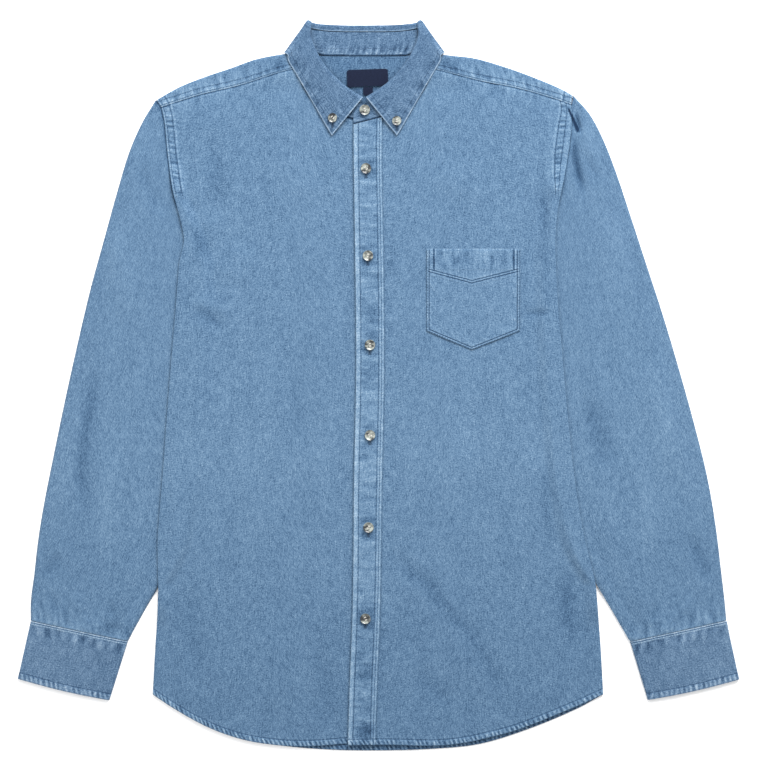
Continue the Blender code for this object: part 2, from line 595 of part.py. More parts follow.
def yoke_shoulder(side, turns, front_rows):
    """One shoulder of the yoke: back layer, fold over the shoulder, front layer."""
    sign = 1.0 if side == "right" else -1.0
    fold = FOLD_RIGHT if side == "right" else FOLD_LEFT
    seam = YOKE_SEAM_RIGHT if side == "right" else YOKE_SEAM_LEFT
    neck = NECK_POINT_RIGHT if side == "right" else NECK_POINT_LEFT
    seam_start = seam[0].x
    offsets = [float(value) for value in side_offsets(side, float(LEVELS[0]))]
    near = [seam_start + sign * offset for offset in offsets]
    seam_x = np.concatenate((near, np.linspace(near[-1], seam[-1].x, 6)[1:]))
    share = (seam_x - seam_x[0]) / (seam_x[-1] - seam_x[0])
    fold_x = fold[0].x + share * (neck[0] - fold[0].x)
    fold_y = along(fold, "x", "y", fold_x)
    slope_x = np.gradient(fold_x)
    slope_y = np.gradient(fold_y)
    length = np.hypot(slope_x, slope_y)
    out_x = -slope_y / length * np.sign(slope_x)
    out_y = np.abs(slope_x) / length
    base = body_lift(fold_x, fold_y)
    gap = front_gap(fold_x, fold_y - 2.0)
    radius = CLOTH + gap / 2
    start_x = fold_x - out_x * radius
    start_y = fold_y - out_y * radius
    outer, inner = [], []
    for at_armhole, at_neck in YOKE_LEVELS:
        part = (at_armhole - YOKE_BACK) / (YOKE_LEVELS[-1].armhole - YOKE_BACK)
        edge = float(side_x(side, at_armhole))
        level_x = edge + share * (neck[0] - edge)
        top_x = fold[0].x + share * (neck[0] - fold[0].x)
        x = level_x + part ** 4 * (start_x - top_x)
        y = at_armhole + share * (at_neck - at_armhole)
        last = YOKE_LEVELS[-1]
        y = y + part ** 2 * (start_y - last.armhole - share * (last.neck - last.armhole))
        under = body_lift(x, y)
        outer.append(lift_points(x, y, under))
        inner.append(lift_points(x, y, under + CLOTH))
    centre = base + CLOTH + gap / 2
    for turn in turns:
        reach, rise = cos(radians(turn)), sin(radians(turn))
        for rows, size in ((outer, radius), (inner, gap / 2)):
            rows.append(lift_points(start_x + out_x * size * reach,
                                    start_y + out_y * size * reach, centre + size * rise))
    seam_y = along(seam, "x", "y", seam_x)
    for part in np.linspace(0.0, 1.0, front_rows + 1):
        x = start_x + part * (seam_x - start_x)
        y = start_y + part * (seam_y - start_y)
        under = front_under(x, y) if part > 0 else base + CLOTH + gap
        outer.append(lift_points(x, y, under + CLOTH))
        inner.append(lift_points(x, y, under))
    return np.array(outer), np.array(inner)


def neck_rows(x):
    """Back layer of the yoke between the neck points, up to the neckline."""
    outer, inner = [], []
    middle = 1 - ((x - NECK_X) / (NECK_POINT_LEFT[0] - NECK_X)) ** 4
    top = NECK_POINT_RIGHT[1] - NECK_DIP[0] - NECK_DIP[1] * smooth(middle)
    for level in YOKE_LEVELS:
        part = (level.armhole - YOKE_BACK) / (YOKE_LEVELS[-1].armhole - YOKE_BACK)
        y = level.neck + part ** 2 * (top - YOKE_LEVELS[-1].neck)
        under = body_lift(x, y)
        outer.append(lift_points(x, y, under))
        inner.append(lift_points(x, y, under + CLOTH))
    return outer, inner


def make_yoke():
    """The yoke is one sheet: whole across the back, folded over at both shoulders."""
    turns = [-54, -18, 18, 54]
    front_rows = 3
    right_outer, right_inner = yoke_shoulder("right", turns, front_rows)
    left_outer, left_inner = yoke_shoulder("left", turns, front_rows)
    neck_x = np.linspace(NECK_POINT_RIGHT[0], NECK_POINT_LEFT[0], 8)[1:-1]
    neck_outer, neck_inner = neck_rows(neck_x)
    back_rows = len(YOKE_LEVELS)
    spare = right_outer.shape[0] - back_rows
    neck_outer = np.array(neck_outer + [neck_outer[-1]] * spare)
    neck_inner = np.array(neck_inner + [neck_inner[-1]] * spare)
    outer = np.concatenate((right_outer, neck_outer, left_outer[:, ::-1]), axis=1)
    inner = np.concatenate((right_inner, neck_inner, left_inner[:, ::-1]), axis=1)
    cells = np.ones((outer.shape[0] - 1, outer.shape[1] - 1), dtype=bool)
    first_neck = right_outer.shape[1] - 1
    cells[back_rows - 1:, first_neck:first_neck + len(neck_x) + 1] = False
    wall_solid("yoke", outer, inner, cells=cells)
    return inner[:back_rows, first_neck:first_neck + len(neck_x) + 2]


# ---- sleeves and cuffs ---------------------------------------------------------------

def flat_tube_ring(shares, height, wall, place, top_height):
    """Outer and inner points of one ring of a tube pressed flat. place(share) gives the
    spot across the tube, top_height(x, y) the height of its upper face there."""
    radius = height / 2
    width = np.hypot(*(place(1.0) - place(0.0)))
    inset = radius / width
    spots = [place(inset)] + [place(share) for share in shares[1:-1]] + [place(1 - inset)]
    tops = [float(top_height(*spot)) for spot in spots]
    tops[0] = height
    tops[-1] = height
    turns = [45, 0, -45]
    rings = []
    for thin in (0.0, wall):
        size = (radius - thin) / width
        ring = [(*spot, top - thin) for spot, top in zip(spots, tops)]
        for turn in turns:
            spot = place(1 - inset + size * cos(radians(turn)))
            ring.append((*spot, radius + (radius - thin) * sin(radians(turn))))
        ring += [(*spot, thin) for spot in reversed(spots)]
        for turn in reversed(turns):
            spot = place(inset - size * cos(radians(turn)))
            ring.append((*spot, radius + (radius - thin) * sin(radians(turn))))
        rings.append(ring)
    return rings


def armhole_points(side, rings):
    """The armhole seam from the shoulder down, then on under the body to the underarm."""
    sign = -1.0 if side == "right" else 1.0
    seam_levels = [level for level in LEVELS if level > SEAM_HIDDEN[0]] + SEAM_HIDDEN
    points = [(rings[0].outer_x + sign * SEAM, rings[0].outer_y)]
    for level in seam_levels:
        edge = side_x(side, level) if level > SEAM_HIDDEN[0] else tuck_x(side, level)
        points.append((float(edge) + sign * SEAM, float(level)))
    points.append((rings[0].inner_x, rings[0].inner_y))
    return np.array(points)


def make_sleeve(side):
    rings = SLEEVE_RIGHT if side == "right" else SLEEVE_LEFT
    seam = armhole_points(side, rings)
    steps = np.hypot(*np.diff(seam, axis=0).T)
    measure = np.concatenate(([0.0], np.cumsum(steps))) / steps.sum()
    sign = -1.0 if side == "right" else 1.0
    chord_start = np.array([rings[0].outer_x, rings[0].outer_y])
    chord_end = np.array([rings[0].inner_x, rings[0].inner_y])
    outer_rings, inner_rings = [], []
    for index, ring in enumerate(rings):
        pull = ARMHOLE_PULL[index] if index < len(ARMHOLE_PULL) else 0.0
        start = np.array([ring.outer_x, ring.outer_y])
        end = np.array([ring.inner_x, ring.inner_y])

        def place(share, start=start, end=end, pull=pull):
            on_seam = np.array([np.interp(share, measure, seam[:, 0]),
                                np.interp(share, measure, seam[:, 1])])
            off_chord = on_seam - (chord_start + share * (chord_end - chord_start))
            return start + share * (end - start) + pull * off_chord

        def top_height(x, y, start=start, end=end):
            covered = y > SLEEVE_FREE
            shown = sign * (x - float(side_x(side, y))) if covered else np.inf
            from_outer = np.hypot(x - start[0], y - start[1])
            from_inner = np.hypot(x - end[0], y - end[1])
            free = min(shown, from_inner) - SLEEVE_SHADE
            inside = smooth(from_outer / SLEEVE_ROUND) * smooth(free / SLEEVE_ROUND)
            rise = SLEEVE_LOFT + float(fold_relief(SLEEVE_FOLDS, np.array(x), np.array(y)))
            return TUBE_HEIGHT + rise * float(inside)

        ring_outer, ring_inner = flat_tube_ring(measure, TUBE_HEIGHT, CLOTH, place, top_height)
        outer_rings.append(ring_outer)
        inner_rings.append(ring_inner)
    wall_solid("sleeve_" + side, outer_rings, inner_rings, closed=True)


def make_cuff(side):
    first, last = CUFF_RIGHT if side == "right" else CUFF_LEFT
    shares = np.linspace(0.0, 1.0, CUFF_COLUMNS)
    outer_rings, inner_rings = [], []
    for step in range(CUFF_STEPS + 1):
        part = step / CUFF_STEPS
        start = np.array([first.outer_x + part * (last.outer_x - first.outer_x),
                          first.outer_y + part * (last.outer_y - first.outer_y)])
        end = np.array([first.inner_x + part * (last.inner_x - first.inner_x),
                        first.inner_y + part * (last.inner_y - first.inner_y)])
        sag = CUFF_SAG * part

        def place(share, start=start, end=end, sag=sag):
            return start + share * (end - start) + np.array([0.0, -sag * sin(pi * share)])

        def top_height(x, y, start=start, end=end, part=part):
            near = min(np.hypot(x - start[0], y - start[1]), np.hypot(x - end[0], y - end[1]))
            loft = CUFF_LOFT * (1 - CUFF_LOFT_FADE * part)
            return CUFF_HEIGHT + loft * float(smooth(near / CUFF_ROUND))

        ring_outer, ring_inner = flat_tube_ring(shares, CUFF_HEIGHT, CUFF_CLOTH, place,
                                                top_height)
        outer_rings.append(ring_outer)
        inner_rings.append(ring_inner)
    wall_solid("cuff_" + side, outer_rings, inner_rings, closed=True)


# ---- collar and stand ----------------------------------------------------------------

def collar_frames(side):
    """Stations of one half of the collar, back to front: where the fold and the edge
    lie, which way the outer face looks, and how far out it is at each."""
    mirror = 1.0 if side == "right" else -1.0
    drops = UNDERLAP_DROP if side == "right" else [0.0] * len(UNDERLAP_DROP)
    stations = [(station, -90.0, FOLD_SWING, 0.0) for station in COLLAR_BACK]
    stations += [(COLLAR_SIDE, float(turn), FOLD_SWING, 0.0) for turn in SIDE_TURNS]
    stations += [(station, 90.0, station.height - FOLD_LEVEL, drop)
                 for station, drop in zip(COLLAR_FRONT, drops)]
    frames = []
    for station, turn, swing, drop in stations:
        fold = np.array([NECK_X + mirror * station.fold_x, station.fold_y, FOLD_LEVEL])
        edge = np.array([NECK_X + mirror * station.edge_x, station.edge_y, FOLD_LEVEL])
        down = (edge - fold) / np.linalg.norm(edge - fold)
        level_out = np.array([-down[1], down[0], 0.0]) * -mirror
        if station is COLLAR_SIDE:
            shift = level_out * (FOLD_SWING + COLLAR_CLOTH / 2)
            fold = fold - shift
            edge = edge - shift
        fold = fold + down * (ROLL + COLLAR_CLOTH / 2)
        out = level_out * cos(radians(turn)) + np.array([0.0, 0.0, sin(radians(turn))])
        at_fold = swing - drop
        at_edge = FOLD_SWING
        if station in COLLAR_FRONT:
            resting = front_under(edge[0], edge[1]) + CLOTH + LAY_CLEAR + COLLAR_CLOTH / 2
            at_edge = float(resting) - FOLD_LEVEL
        frames.append((fold, edge, down, out, at_fold, at_edge))
    return frames


def leaf_section(frame):
    """Cross-section of the collar: outer face from edge to fold, roll, and inner lip."""
    fold, edge, down, out, at_fold, at_edge = frame
    outer, inner = [], []
    half = COLLAR_CLOTH / 2
    for share in reversed(LEAF_SPREAD):
        crown = LEAF_CROWN * sin(pi * share) if at_fold != at_edge else 0.0
        offset = at_fold + share * (at_edge - at_fold) + crown
        spot = fold + share * (edge - fold) + out * offset
        outer.append(spot + out * half)
        inner.append(spot - out * half)
    hub = fold + out * (at_fold - ROLL)
    for turn in ROLL_TURNS:
        way = out * cos(radians(turn)) - down * sin(radians(turn))
        outer.append(hub + way * (ROLL + half))
        inner.append(hub + way * (ROLL - half))
    for share in (0.0, 1.0):
        spot = fold + down * LIP * share + out * (at_fold - 2 * ROLL)
        outer.append(spot - out * half)
        inner.append(spot + out * half)
    return outer, inner


def make_collar():
    right = collar_frames("right")
    left = collar_frames("left")
    frames = right[::-1] + left[1:]
    outer, inner = zip(*(leaf_section(frame) for frame in frames))
    wall_solid("collar", outer, inner)
    return np.array(outer)


def stand_bottoms(side):
    """Lower edge of the stand at each collar station: the neckline, moved inside it."""
    right = side == "right"
    mirror = 1.0 if right else -1.0
    neckline = NECKLINE_RIGHT if right else NECKLINE_LEFT
    back = [(NECK_X + mirror * x, y) for x, y in STAND_BACK]
    point = NECK_POINT_RIGHT if right else NECK_POINT_LEFT
    side_base = np.array([point[0] + mirror * STAND_SIDE[0], point[1] + STAND_SIDE[1]])
    points = []
    for x, y in back:
        points.append((x, y, float(body_lift(x, y - 4.0)) + STAND_ON_YOKE))
    outward = np.array([STAND_OUTWARD[0] * mirror, STAND_OUTWARD[1]])
    for turn in SIDE_TURNS:
        spot = side_base + outward * STAND_SWING * cos(radians(turn))
        points.append((*spot, STAND_LEVEL + STAND_SWING * sin(radians(turn))))
    front = [((point[0] + neckline[0].x) / 2, (point[1] + neckline[0].y) / 2)]
    front += [(row.x, row.y) for row in neckline]
    front = np.array(front)
    ways = np.gradient(front, axis=0)
    ways /= np.hypot(ways[:, 0], ways[:, 1])[:, None]
    inward = np.stack((-ways[:, 1], ways[:, 0]), axis=-1) * mirror
    moved = front + inward * (SEAM + STAND_INSET)
    under = right_front_under if right else front_under
    for place, spot in zip(front, moved):
        points.append((*spot, float(under(*place)) + CLOTH / 2))
    return points


def make_stand():
    """The stand is a band from end to end round the neck; its ends cross in front."""
    halves = []
    for side in ("right", "left"):
        frames = collar_frames(side)
        bottoms = stand_bottoms(side)
        ends = STAND_END_UNDER if side == "right" else STAND_END_OVER
        band = []
        for frame, bottom in zip(frames, bottoms):
            fold, edge, down, out, at_fold, at_edge = frame
            top = fold + down * (LIP + LAY_CLEAR) + out * (at_fold - 2 * ROLL)
            band.append((np.array(bottom), top, out))
        for bottom, end in zip(bottoms[-2:], ends):
            lower = np.array([bottom[0], bottom[1], end.bottom_z])
            upper = np.array([end.x, end.y, end.top_z])
            band.append((lower, upper, np.array([0.0, 0.0, 1.0])))
        halves.append(band)
    band = halves[0][::-1] + halves[1][1:]
    outer, inner = [], []
    half = STAND_CLOTH / 2
    for bottom, top, out in band:
        up = (top - bottom) / np.linalg.norm(top - bottom)
        face = out - up * np.dot(out, up)
        face /= np.linalg.norm(face)
        row = [bottom + share * (top - bottom) for share in STAND_SHARES]
        outer.append([spot + face * half for spot in row])
        inner.append([spot - face * half for spot in row])
    wall_solid("collar_stand", outer, inner)
    return np.array(outer)


# ---- labels and buttons --------------------------------------------------------------

def make_label(name, size, at, turn, ground):
    """A small woven tape that follows the yoke's inner face."""
    rows = []
    for v in np.linspace(0.5, -0.5, LABEL_POINTS):
        row = []
        for u in np.linspace(-0.5, 0.5, LABEL_POINTS):
            x = at[0] + u * size[0] * cos(radians(turn)) - v * size[1] * sin(radians(turn))
            y = at[1] + u * size[0] * sin(radians(turn)) + v * size[1] * cos(radians(turn))
            row.append((x, y, height_on(ground, x, y)[0] + LAY_CLEAR))
        rows.append(row)
    lower = np.array(rows)
    wall_solid(name, lower + np.array([0.0, 0.0, LABEL_CLOTH]), lower, NAVY, 0.7)


def make_button(name, width, at, ground):
    """A turned button: flat back, rounded edge, raised rim round a dished middle."""
    radius = width / 2
    height, tilt = height_on(ground, *at)
    profile = BUTTON_PROFILE
    side = np.cross(tilt, np.array([0.0, 1.0, 0.0]))
    side /= np.linalg.norm(side)
    ahead = np.cross(side, tilt)
    seat = np.array([at[0], at[1], height]) + tilt * BUTTON_SEAT
    points = [seat]
    for share, level in profile[1:-1]:
        for step in range(BUTTON_SIDES):
            angle = 2 * pi * step / BUTTON_SIDES
            spoke = side * cos(angle) + ahead * sin(angle)
            points.append(seat + spoke * radius * share + tilt * BUTTON_HEIGHT * level)
    points.append(seat + tilt * BUTTON_HEIGHT * profile[-1][1])
    triangles = []
    rings = len(profile) - 2
    last = len(points) - 1
    for step in range(BUTTON_SIDES):
        after = (step + 1) % BUTTON_SIDES
        triangles.append((0, 1 + after, 1 + step))
        for ring in range(rings - 1):
            low = 1 + ring * BUTTON_SIDES
            high = low + BUTTON_SIDES
            triangles += quad(low + step, low + after, high + after, high + step)
        top = 1 + (rings - 1) * BUTTON_SIDES
        triangles.append((top + step, top + after, last))
    make_solid(name, points, triangles, HORN, 0.3)


def build():
    for item in list(bpy.data.objects):
        bpy.data.objects.remove(item, do_unlink=True)
    make_back()
    neck_inside = make_yoke()
    make_front("right")
    left_upper = make_front("left")
    placket_upper = make_placket(left_upper)
    make_pocket(left_upper)
    for side in ("right", "left"):
        make_sleeve(side)
        make_cuff(side)
    collar_upper = make_collar()
    stand_upper = make_stand()
    make_label("neck_label", LABEL_SIZE, LABEL_AT, LABEL_TURN, neck_inside)
    make_label("size_tab", TAB_SIZE, TAB_AT, 0.0, neck_inside)
    make_button("button_1", BUTTON_WIDTH, STAND_BUTTON, stand_upper)
    for number, place in enumerate(PLACKET_BUTTONS, start=2):
        make_button(f"button_{number}", BUTTON_WIDTH, place, placket_upper)
    for name, place in zip(("right", "left"), COLLAR_BUTTONS):
        make_button("collar_button_" + name, COLLAR_BUTTON_WIDTH, place, collar_upper)


build()
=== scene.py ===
# Dresses the laid-out denim shirt: cloth shells with their creases, puckers and hems,
# sewing, buttons, materials, light and camera. Sizes and tables are in millimetres.
from collections import namedtuple
from math import cos, pi, radians, sin

import bmesh
import bpy
import numpy as np
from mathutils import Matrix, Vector
from mathutils.bvhtree import BVHTree


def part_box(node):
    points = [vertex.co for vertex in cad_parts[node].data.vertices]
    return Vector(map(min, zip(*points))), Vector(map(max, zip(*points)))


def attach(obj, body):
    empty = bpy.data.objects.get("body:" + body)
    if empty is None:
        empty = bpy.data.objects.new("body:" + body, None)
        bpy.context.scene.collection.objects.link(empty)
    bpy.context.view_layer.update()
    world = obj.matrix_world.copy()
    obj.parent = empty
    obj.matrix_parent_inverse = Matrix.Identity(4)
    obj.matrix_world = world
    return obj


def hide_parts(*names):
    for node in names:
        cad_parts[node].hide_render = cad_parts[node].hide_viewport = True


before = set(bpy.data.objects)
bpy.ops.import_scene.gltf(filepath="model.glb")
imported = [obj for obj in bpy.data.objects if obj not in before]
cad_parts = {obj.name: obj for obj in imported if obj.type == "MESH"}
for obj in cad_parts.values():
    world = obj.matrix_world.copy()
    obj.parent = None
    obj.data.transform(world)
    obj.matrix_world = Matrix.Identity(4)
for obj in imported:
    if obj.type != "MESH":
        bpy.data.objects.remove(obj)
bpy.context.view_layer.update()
print("frame loaded")

mm = 0.001
origin = np.array([-0.5, 1.1, 0.0])     # middle of the laid-out shirt in the tables' own x and y
upward = np.array([0.0, 0.0, 1.0])
inward = {"right": 1.0, "left": -1.0}   # way to the middle from the wearer's right and left
neckX = -16.0          # middle of the collar
cloth = 1.2            # wall of one layer of denim in the solids
seamGap = 0.3          # air between neighbouring pieces
lowest = 0.02          # no cloth lies nearer to the table
deepest = -0.25        # puckers of the placket and the pocket go no deeper


# Rows of a table, with its columns named.
def table(columns, *rows):
    row = namedtuple("row", columns)
    return [row(*values) for values in rows]


# Body side edges, from armhole to hem
bodySides = table(
    "y right left", (317, -244.5, 213), (307, -239.5, 211.2), (293, -236.3, 212.3), (266, -233.6, 209.8),
    (238, -230.2, 205.2), (213, -226, 199.8), (190, -219.8, 195.9), (161, -214, 193.6),
    (137, -218.8, 193.9), (95, -222.2, 196.1), (40, -227, 200.7), (-30, -232.5, 206.9),
    (-105, -237.9, 215.1), (-169, -242.9, 226.1), (-217, -242.3, 237.6), (-240, -242.8, 239.8),
    (-284, -245.6, 243.4), (-338, -248.6, 246.4))
# Edge of the sleeve hidden under the body, from underarm to where it comes out
sleeveTuck = table(
    "y right left", (206, -224.4, 198.3), (181, -212.3, 190.3), (161, -204.6, 187), (137, -199.1, 185.9),
    (112, -196.9, 185.9), (53, -197.5, 187.6), (-21, -200.8, 192), (-103, -207.4, 200.2),
    (-141, -212.9, 206.8), (-178, -221.7, 216.7), (-217, -240.9, 239))
# Placket strip, collar to hem: its free and its sewn edge
placketStrip = table(
    "y free sewn", (300, -28, 2.2), (227, -27.5, 3.3), (150, -26.4, 4.7), (62, -25.3, 5.5), (7, -25.3, 5.5),
    (-101, -27.5, 3.3), (-235, -29.2, 1), (-301, -33, -2.8), (-395, -35.6, -5.1))
# Shoulder folds, front yoke seams, front necklines and hems, from each side to the middle
shoulderFold = {
    "right": table("x y", (-244.5, 315), (-221, 328.4), (-197, 338.3), (-158, 351.5), (-119, 364),
                   (-103, 364.8), (-82, 367.5)),
    "left": table("x y", (213, 319.6), (206, 324), (182, 335), (150, 347.1), (111, 359.2), (90, 363),
                  (70, 364.2), (50, 367.5))}
neckPoint = {side: fold[-1] for side, fold in shoulderFold.items()}
yokeSeam = {
    "right": table("x y", (-239.5, 307), (-197, 320.6), (-155, 330.6), (-100, 347.5), (-90.2, 349.3)),
    "left": table("x y", (211.2, 310), (193, 316.3), (150, 328.4), (115.5, 335), (71.5, 346), (58.3, 349.3))}
neckline = {
    "right": table("x y", (-90.2, 349.3), (-83.6, 330.6), (-71.5, 314.1), (-53.9, 302), (-35.2, 295.5),
                   (-20, 291.8), (-4, 288.5)),
    "left": table("x y", (58.3, 349.3), (51.7, 330.6), (39.6, 314.6), (22.5, 303.1), (3.3, 296.1),
                  (-7.2, 293.4), (-17.6, 290.7), (-28, 288))}
hem = {
    "back": table("x y", (-249, -338), (-228, -352), (-188, -374), (-150, -388), (-109, -394.5), (-56, -399),
                  (0, -400), (63, -398), (105, -394), (142, -383.5), (195, -365), (221, -352.5), (247, -338)),
    "right": table("x y", (-249, -338), (-228, -352), (-188, -374), (-150, -387.5), (-109, -394),
                   (-82, -395), (-36, -392.5), (0, -391)),
    "left": table("x y", (-36, -393.8), (1, -393.3), (79, -393.3), (129, -383.4), (156, -375.7),
                  (184, -364.7), (221, -349.5), (247, -338))}
# Levels at which every body panel has a row of points, shoulder to hem
rowLevels = [307, 293, 280, 266, 251, 238, 225, 213, 199, 181, 161, 137, 112, 79, 40, -4,
             -48, -92, -134, -169, -197, -217, -235, -255, -284, -338]
yokeBack = 266                 # level of the yoke seam across the back
# Levels of the rows in the yoke's back layer, at the armhole and at the neck
yokeLevels = table("armhole neck", (266, 266), (273, 285), (280, 303), (286.5, 321), (293, 334), (300, 348),
                   (307, 357), (313.5, 366))
seamHidden = [206, 181, 161]   # levels of the armhole seam that the body covers
# Broad folds, as in the solids: x and y of both ends, width, and height, below 0 in a trough
frontFolds = [(-206, 134, -178, 196, 26, 1.1), (-208, 96, -160, 78, 24, 0.9), (-150, 160, -168, 110, 44, 0.8),
              (60, -220, 130, -360, 40, 0.9), (28, -186, 92, -262, 34, 0.7), (170, -60, 196, -190, 36, 0.8),
              (-120, -250, -112, -370, 46, 0.7), (120, 250, 60, 214, 50, 0.6)]
sleeveFolds = [(-310, 40, -330, -175, 22, 0.9), (-350, -180, -366, -215, 18, 0.8),
               (-300, 210, -262, 40, 34, 0.7), (219, 296, 226, 240, 12, 0.9), (300, 60, 322, -120, 40, 0.8),
               (340, -170, 362, -225, 18, 0.9), (250, 220, 262, 40, 30, 0.6)]


def smooth(value):
    value = np.clip(value, 0.0, 1.0)
    return value * value * (3.0 - 2.0 * value)


# Rises from 0 to 1 over a width, from where it starts.
def ramp(value, start, width):
    return smooth((value - start) / width)


# Bell curve of height 1 about its middle.
def bell(value, middle, width):
    return np.exp(-((value - middle) / width) ** 2)


# Smooth curve through a stack of points, along its first axis.
def curveThrough(points, knots, at):
    steps = np.diff(knots)
    shape = (-1,) + (1,) * (points.ndim - 1)
    slopes = np.diff(points, axis=0) / steps.reshape(shape)
    tangents = np.concatenate((slopes[:1], (slopes[:-1] + slopes[1:]) / 2, slopes[-1:]))
    index = np.clip(np.searchsorted(knots, at, side="right") - 1, 0, len(steps) - 1)
    width = steps[index].reshape(shape)
    part = ((at - knots[index]) / steps[index]).reshape(shape)
    made = points[index] * (1 + 2 * part) * (1 - part) ** 2
    made = made + points[index + 1] * (3 - 2 * part) * part ** 2
    made = made + tangents[index] * width * part * (1 - part) ** 2
    return made - tangents[index + 1] * width * part ** 2 * (1 - part)


# The same through one column of a table, read at places of its key column.
def along(rows, key, column, at):
    rows = sorted(rows, key=lambda row: getattr(row, key))
    knots, values = (np.array([getattr(row, name) for row in rows], float) for name in (key, column))
    at = np.clip(np.asarray(at, float), knots[0], knots[-1])
    return curveThrough(values, knots, at.ravel()).reshape(at.shape)


def levelOf(rows, x):
    return along(rows, "x", "y", x)


def sideX(side, y):
    return along(bodySides, "y", side, y)


# Hidden sleeve edge; above the underarm it runs together with the body's own.
def tuckX(side, y):
    return np.where(np.asarray(y) > sleeveTuck[0].y, sideX(side, y), along(sleeveTuck, "y", side, y))


# Places ahead of and aside from a line's first end, and the line's length.
def besideLine(x1, y1, x2, y2, x, y):
    length = np.hypot(x2 - x1, y2 - y1)
    wayX, wayY = (x2 - x1) / length, (y2 - y1) / length
    return (x - x1) * wayX + (y - y1) * wayY, (y - y1) * wayX - (x - x1) * wayY, length


foldFade = 0.35        # share of a fold's length over which each end fades


def foldRelief(folds, x, y):
    total = np.zeros(np.broadcast(x, y).shape)
    for *line, width, height in folds:
        ahead, aside, length = besideLine(*line, x, y)
        fade = foldFade * length
        ends = smooth(ahead / fade) * smooth((length - ahead) / fade)
        total = total + height * ends * bell(aside, 0.0, width / 2)
    return total


# How the layers lie on each other
sleeveLift = 4.0       # body raised by the sleeve tucked under it
liftTop = (255.0, 42.0)      # below this level, coming on over this ramp
liftBottom = (-270.0, 35.0)  # and above this one
tuckMargin = 3.0       # the body stays raised this far past the sleeve
tuckRamp = 14.0        # and comes down to the table over this width
tuckLeast = 8.0        # least width of sleeve under the body
fallLift = 2.1         # yoke raised by the collar fall folded under it
fallSide = (142.0, 51.0)     # up to this far from the neck's middle
fallStart = (321.0, 27.0)    # and above this level
frontGapEdge = 0.9     # air between back and front near a seam
frontLoft = 1.3        # extra air in the middle of the chest
loftIn = 55.0          # which builds up over this distance from a side
loftDown = 60.0        # and over this distance below the shoulder
foldInset = (4.0, 18.0)      # folds of the fronts start this far inside a side
sideRoll = 2.4         # width of the rounded body side
underarm = (213.0, 20.0)     # which is rounded below this level
pressedGap = 0.4       # air under the right front where the placket covers it
pressed = (30.0, 24.0)       # it dips this far before the placket's free edge


# How far the sleeves and the collar fall raise the body off the table.
def bodyLift(x, y):
    level = smooth((liftTop[0] - y) / liftTop[1]) * ramp(y, *liftBottom)
    overRight = smooth(1 - (x - tuckX("right", y) - tuckMargin) / tuckRamp)
    overLeft = smooth(1 - (tuckX("left", y) - tuckMargin - x) / tuckRamp)
    overSleeve = sleeveLift * level * np.maximum(overRight, overLeft)
    nearNeck = smooth((fallSide[0] - np.abs(x - neckX)) / fallSide[1])
    return overSleeve + fallLift * nearNeck * ramp(y, *fallStart)


# Distance from the nearer body side.
def insideBody(x, y):
    return np.minimum(x - sideX("right", y), sideX("left", y) - x)


# Air between the back and the fronts.
def frontGap(x, y):
    inside = insideBody(x, y)
    right, left = (levelOf(fold, x) for fold in shoulderFold.values())
    below = np.where(np.asarray(x) < neckX, right, left) - y
    gap = frontGapEdge + frontLoft * (smooth(inside / loftIn) * smooth(below / loftDown))
    gap = gap + foldRelief(frontFolds, x, y) * ramp(inside, *foldInset)
    rolled = smooth((underarm[0] - y) / underarm[1]) * smooth(1 - inside / sideRoll)
    return gap - (frontGapEdge - seamGap) * rolled


# Underside of a front. The right one dips to the back where the left one covers it.
def frontUnder(x, y, side="left"):
    under = bodyLift(x, y) + cloth + frontGap(x, y)
    if side == "right":
        covered = smooth((x - along(placketStrip, "y", "free", y) + pressed[0]) / pressed[1])
        under = under + covered * (bodyLift(x, y) + cloth + pressedGap - under)
    return under


# How the grids of the panels run
hemBend = -190.0       # rows below this level bend towards the hem
shoulderBend = 205.0   # rows above this level bend towards the shoulder
neckBend = 225.0       # columns above this level lead to the neckline
neckColumns = 5        # columns between a side and the neck point
middleColumns = 9      # columns across the middle of the back
stripColumns = 4       # columns under the placket
underlapColumns = (-8.0, 10.0)  # right front's columns beside the placket's free edge
underlapInset = 4.0    # and its own edge, inside the placket's sewn edge
leastStep = 0.01       # between the knots of a grid
sameSpot = 1e-6        # places this close are one


# Distances from a body side to the columns that shape the rise over the sleeve.
def sideOffsets(side, y):
    held = np.maximum(np.abs(tuckX(side, y) - sideX(side, y)), tuckLeast) + tuckMargin
    return np.array([0.0, sideRoll, (sideRoll + held) / 2, held, held + tuckRamp / 2, held + tuckRamp])


# Rows of points. columnsAt(y) gives each row's x values; the lowest row follows
# bottom(x), the highest follows top(x), and the rows between ease back to level.
def levelGrid(columnsAt, bottom, top, levels):
    first, last = levels[0], levels[-1]
    rise, drop = top(columnsAt(first)) - first, bottom(columnsAt(last)) - last
    rows = []
    for level in levels:
        x = columnsAt(level)
        y = level + ramp(level, shoulderBend, first - shoulderBend) * rise
        y = y + smooth((hemBend - level) / (hemBend - last)) * drop
        rows.append(np.stack((x, y, np.zeros(len(x))), axis=-1))
    return np.array(rows)


# Columns of a front: by the side, on to the neck point, then along the neckline.
def frontColumns(side, y):
    neck = [point.x for point in neckline[side]]
    near = sideX(side, y) + inward[side] * sideOffsets(side, y)
    free, sewn = (float(along(placketStrip, "y", edge, y)) for edge in ("free", "sewn"))
    if side == "right":
        ends = [free + step for step in underlapColumns] + [sewn - underlapInset]
    else:
        ends = np.linspace(sewn, free, stripColumns)
    lower = np.linspace(near[-1], ends[0], neckColumns + len(neck) + 1 - len(ends))
    lower = np.concatenate((lower[1:], ends[1:]))
    upper = np.concatenate((np.linspace(near[-1], neck[0], neckColumns + 1)[1:], neck[1:]))
    ease = ramp(y, neckBend, rowLevels[0] - neckBend)
    return np.concatenate((near, lower + ease * (upper - lower)))


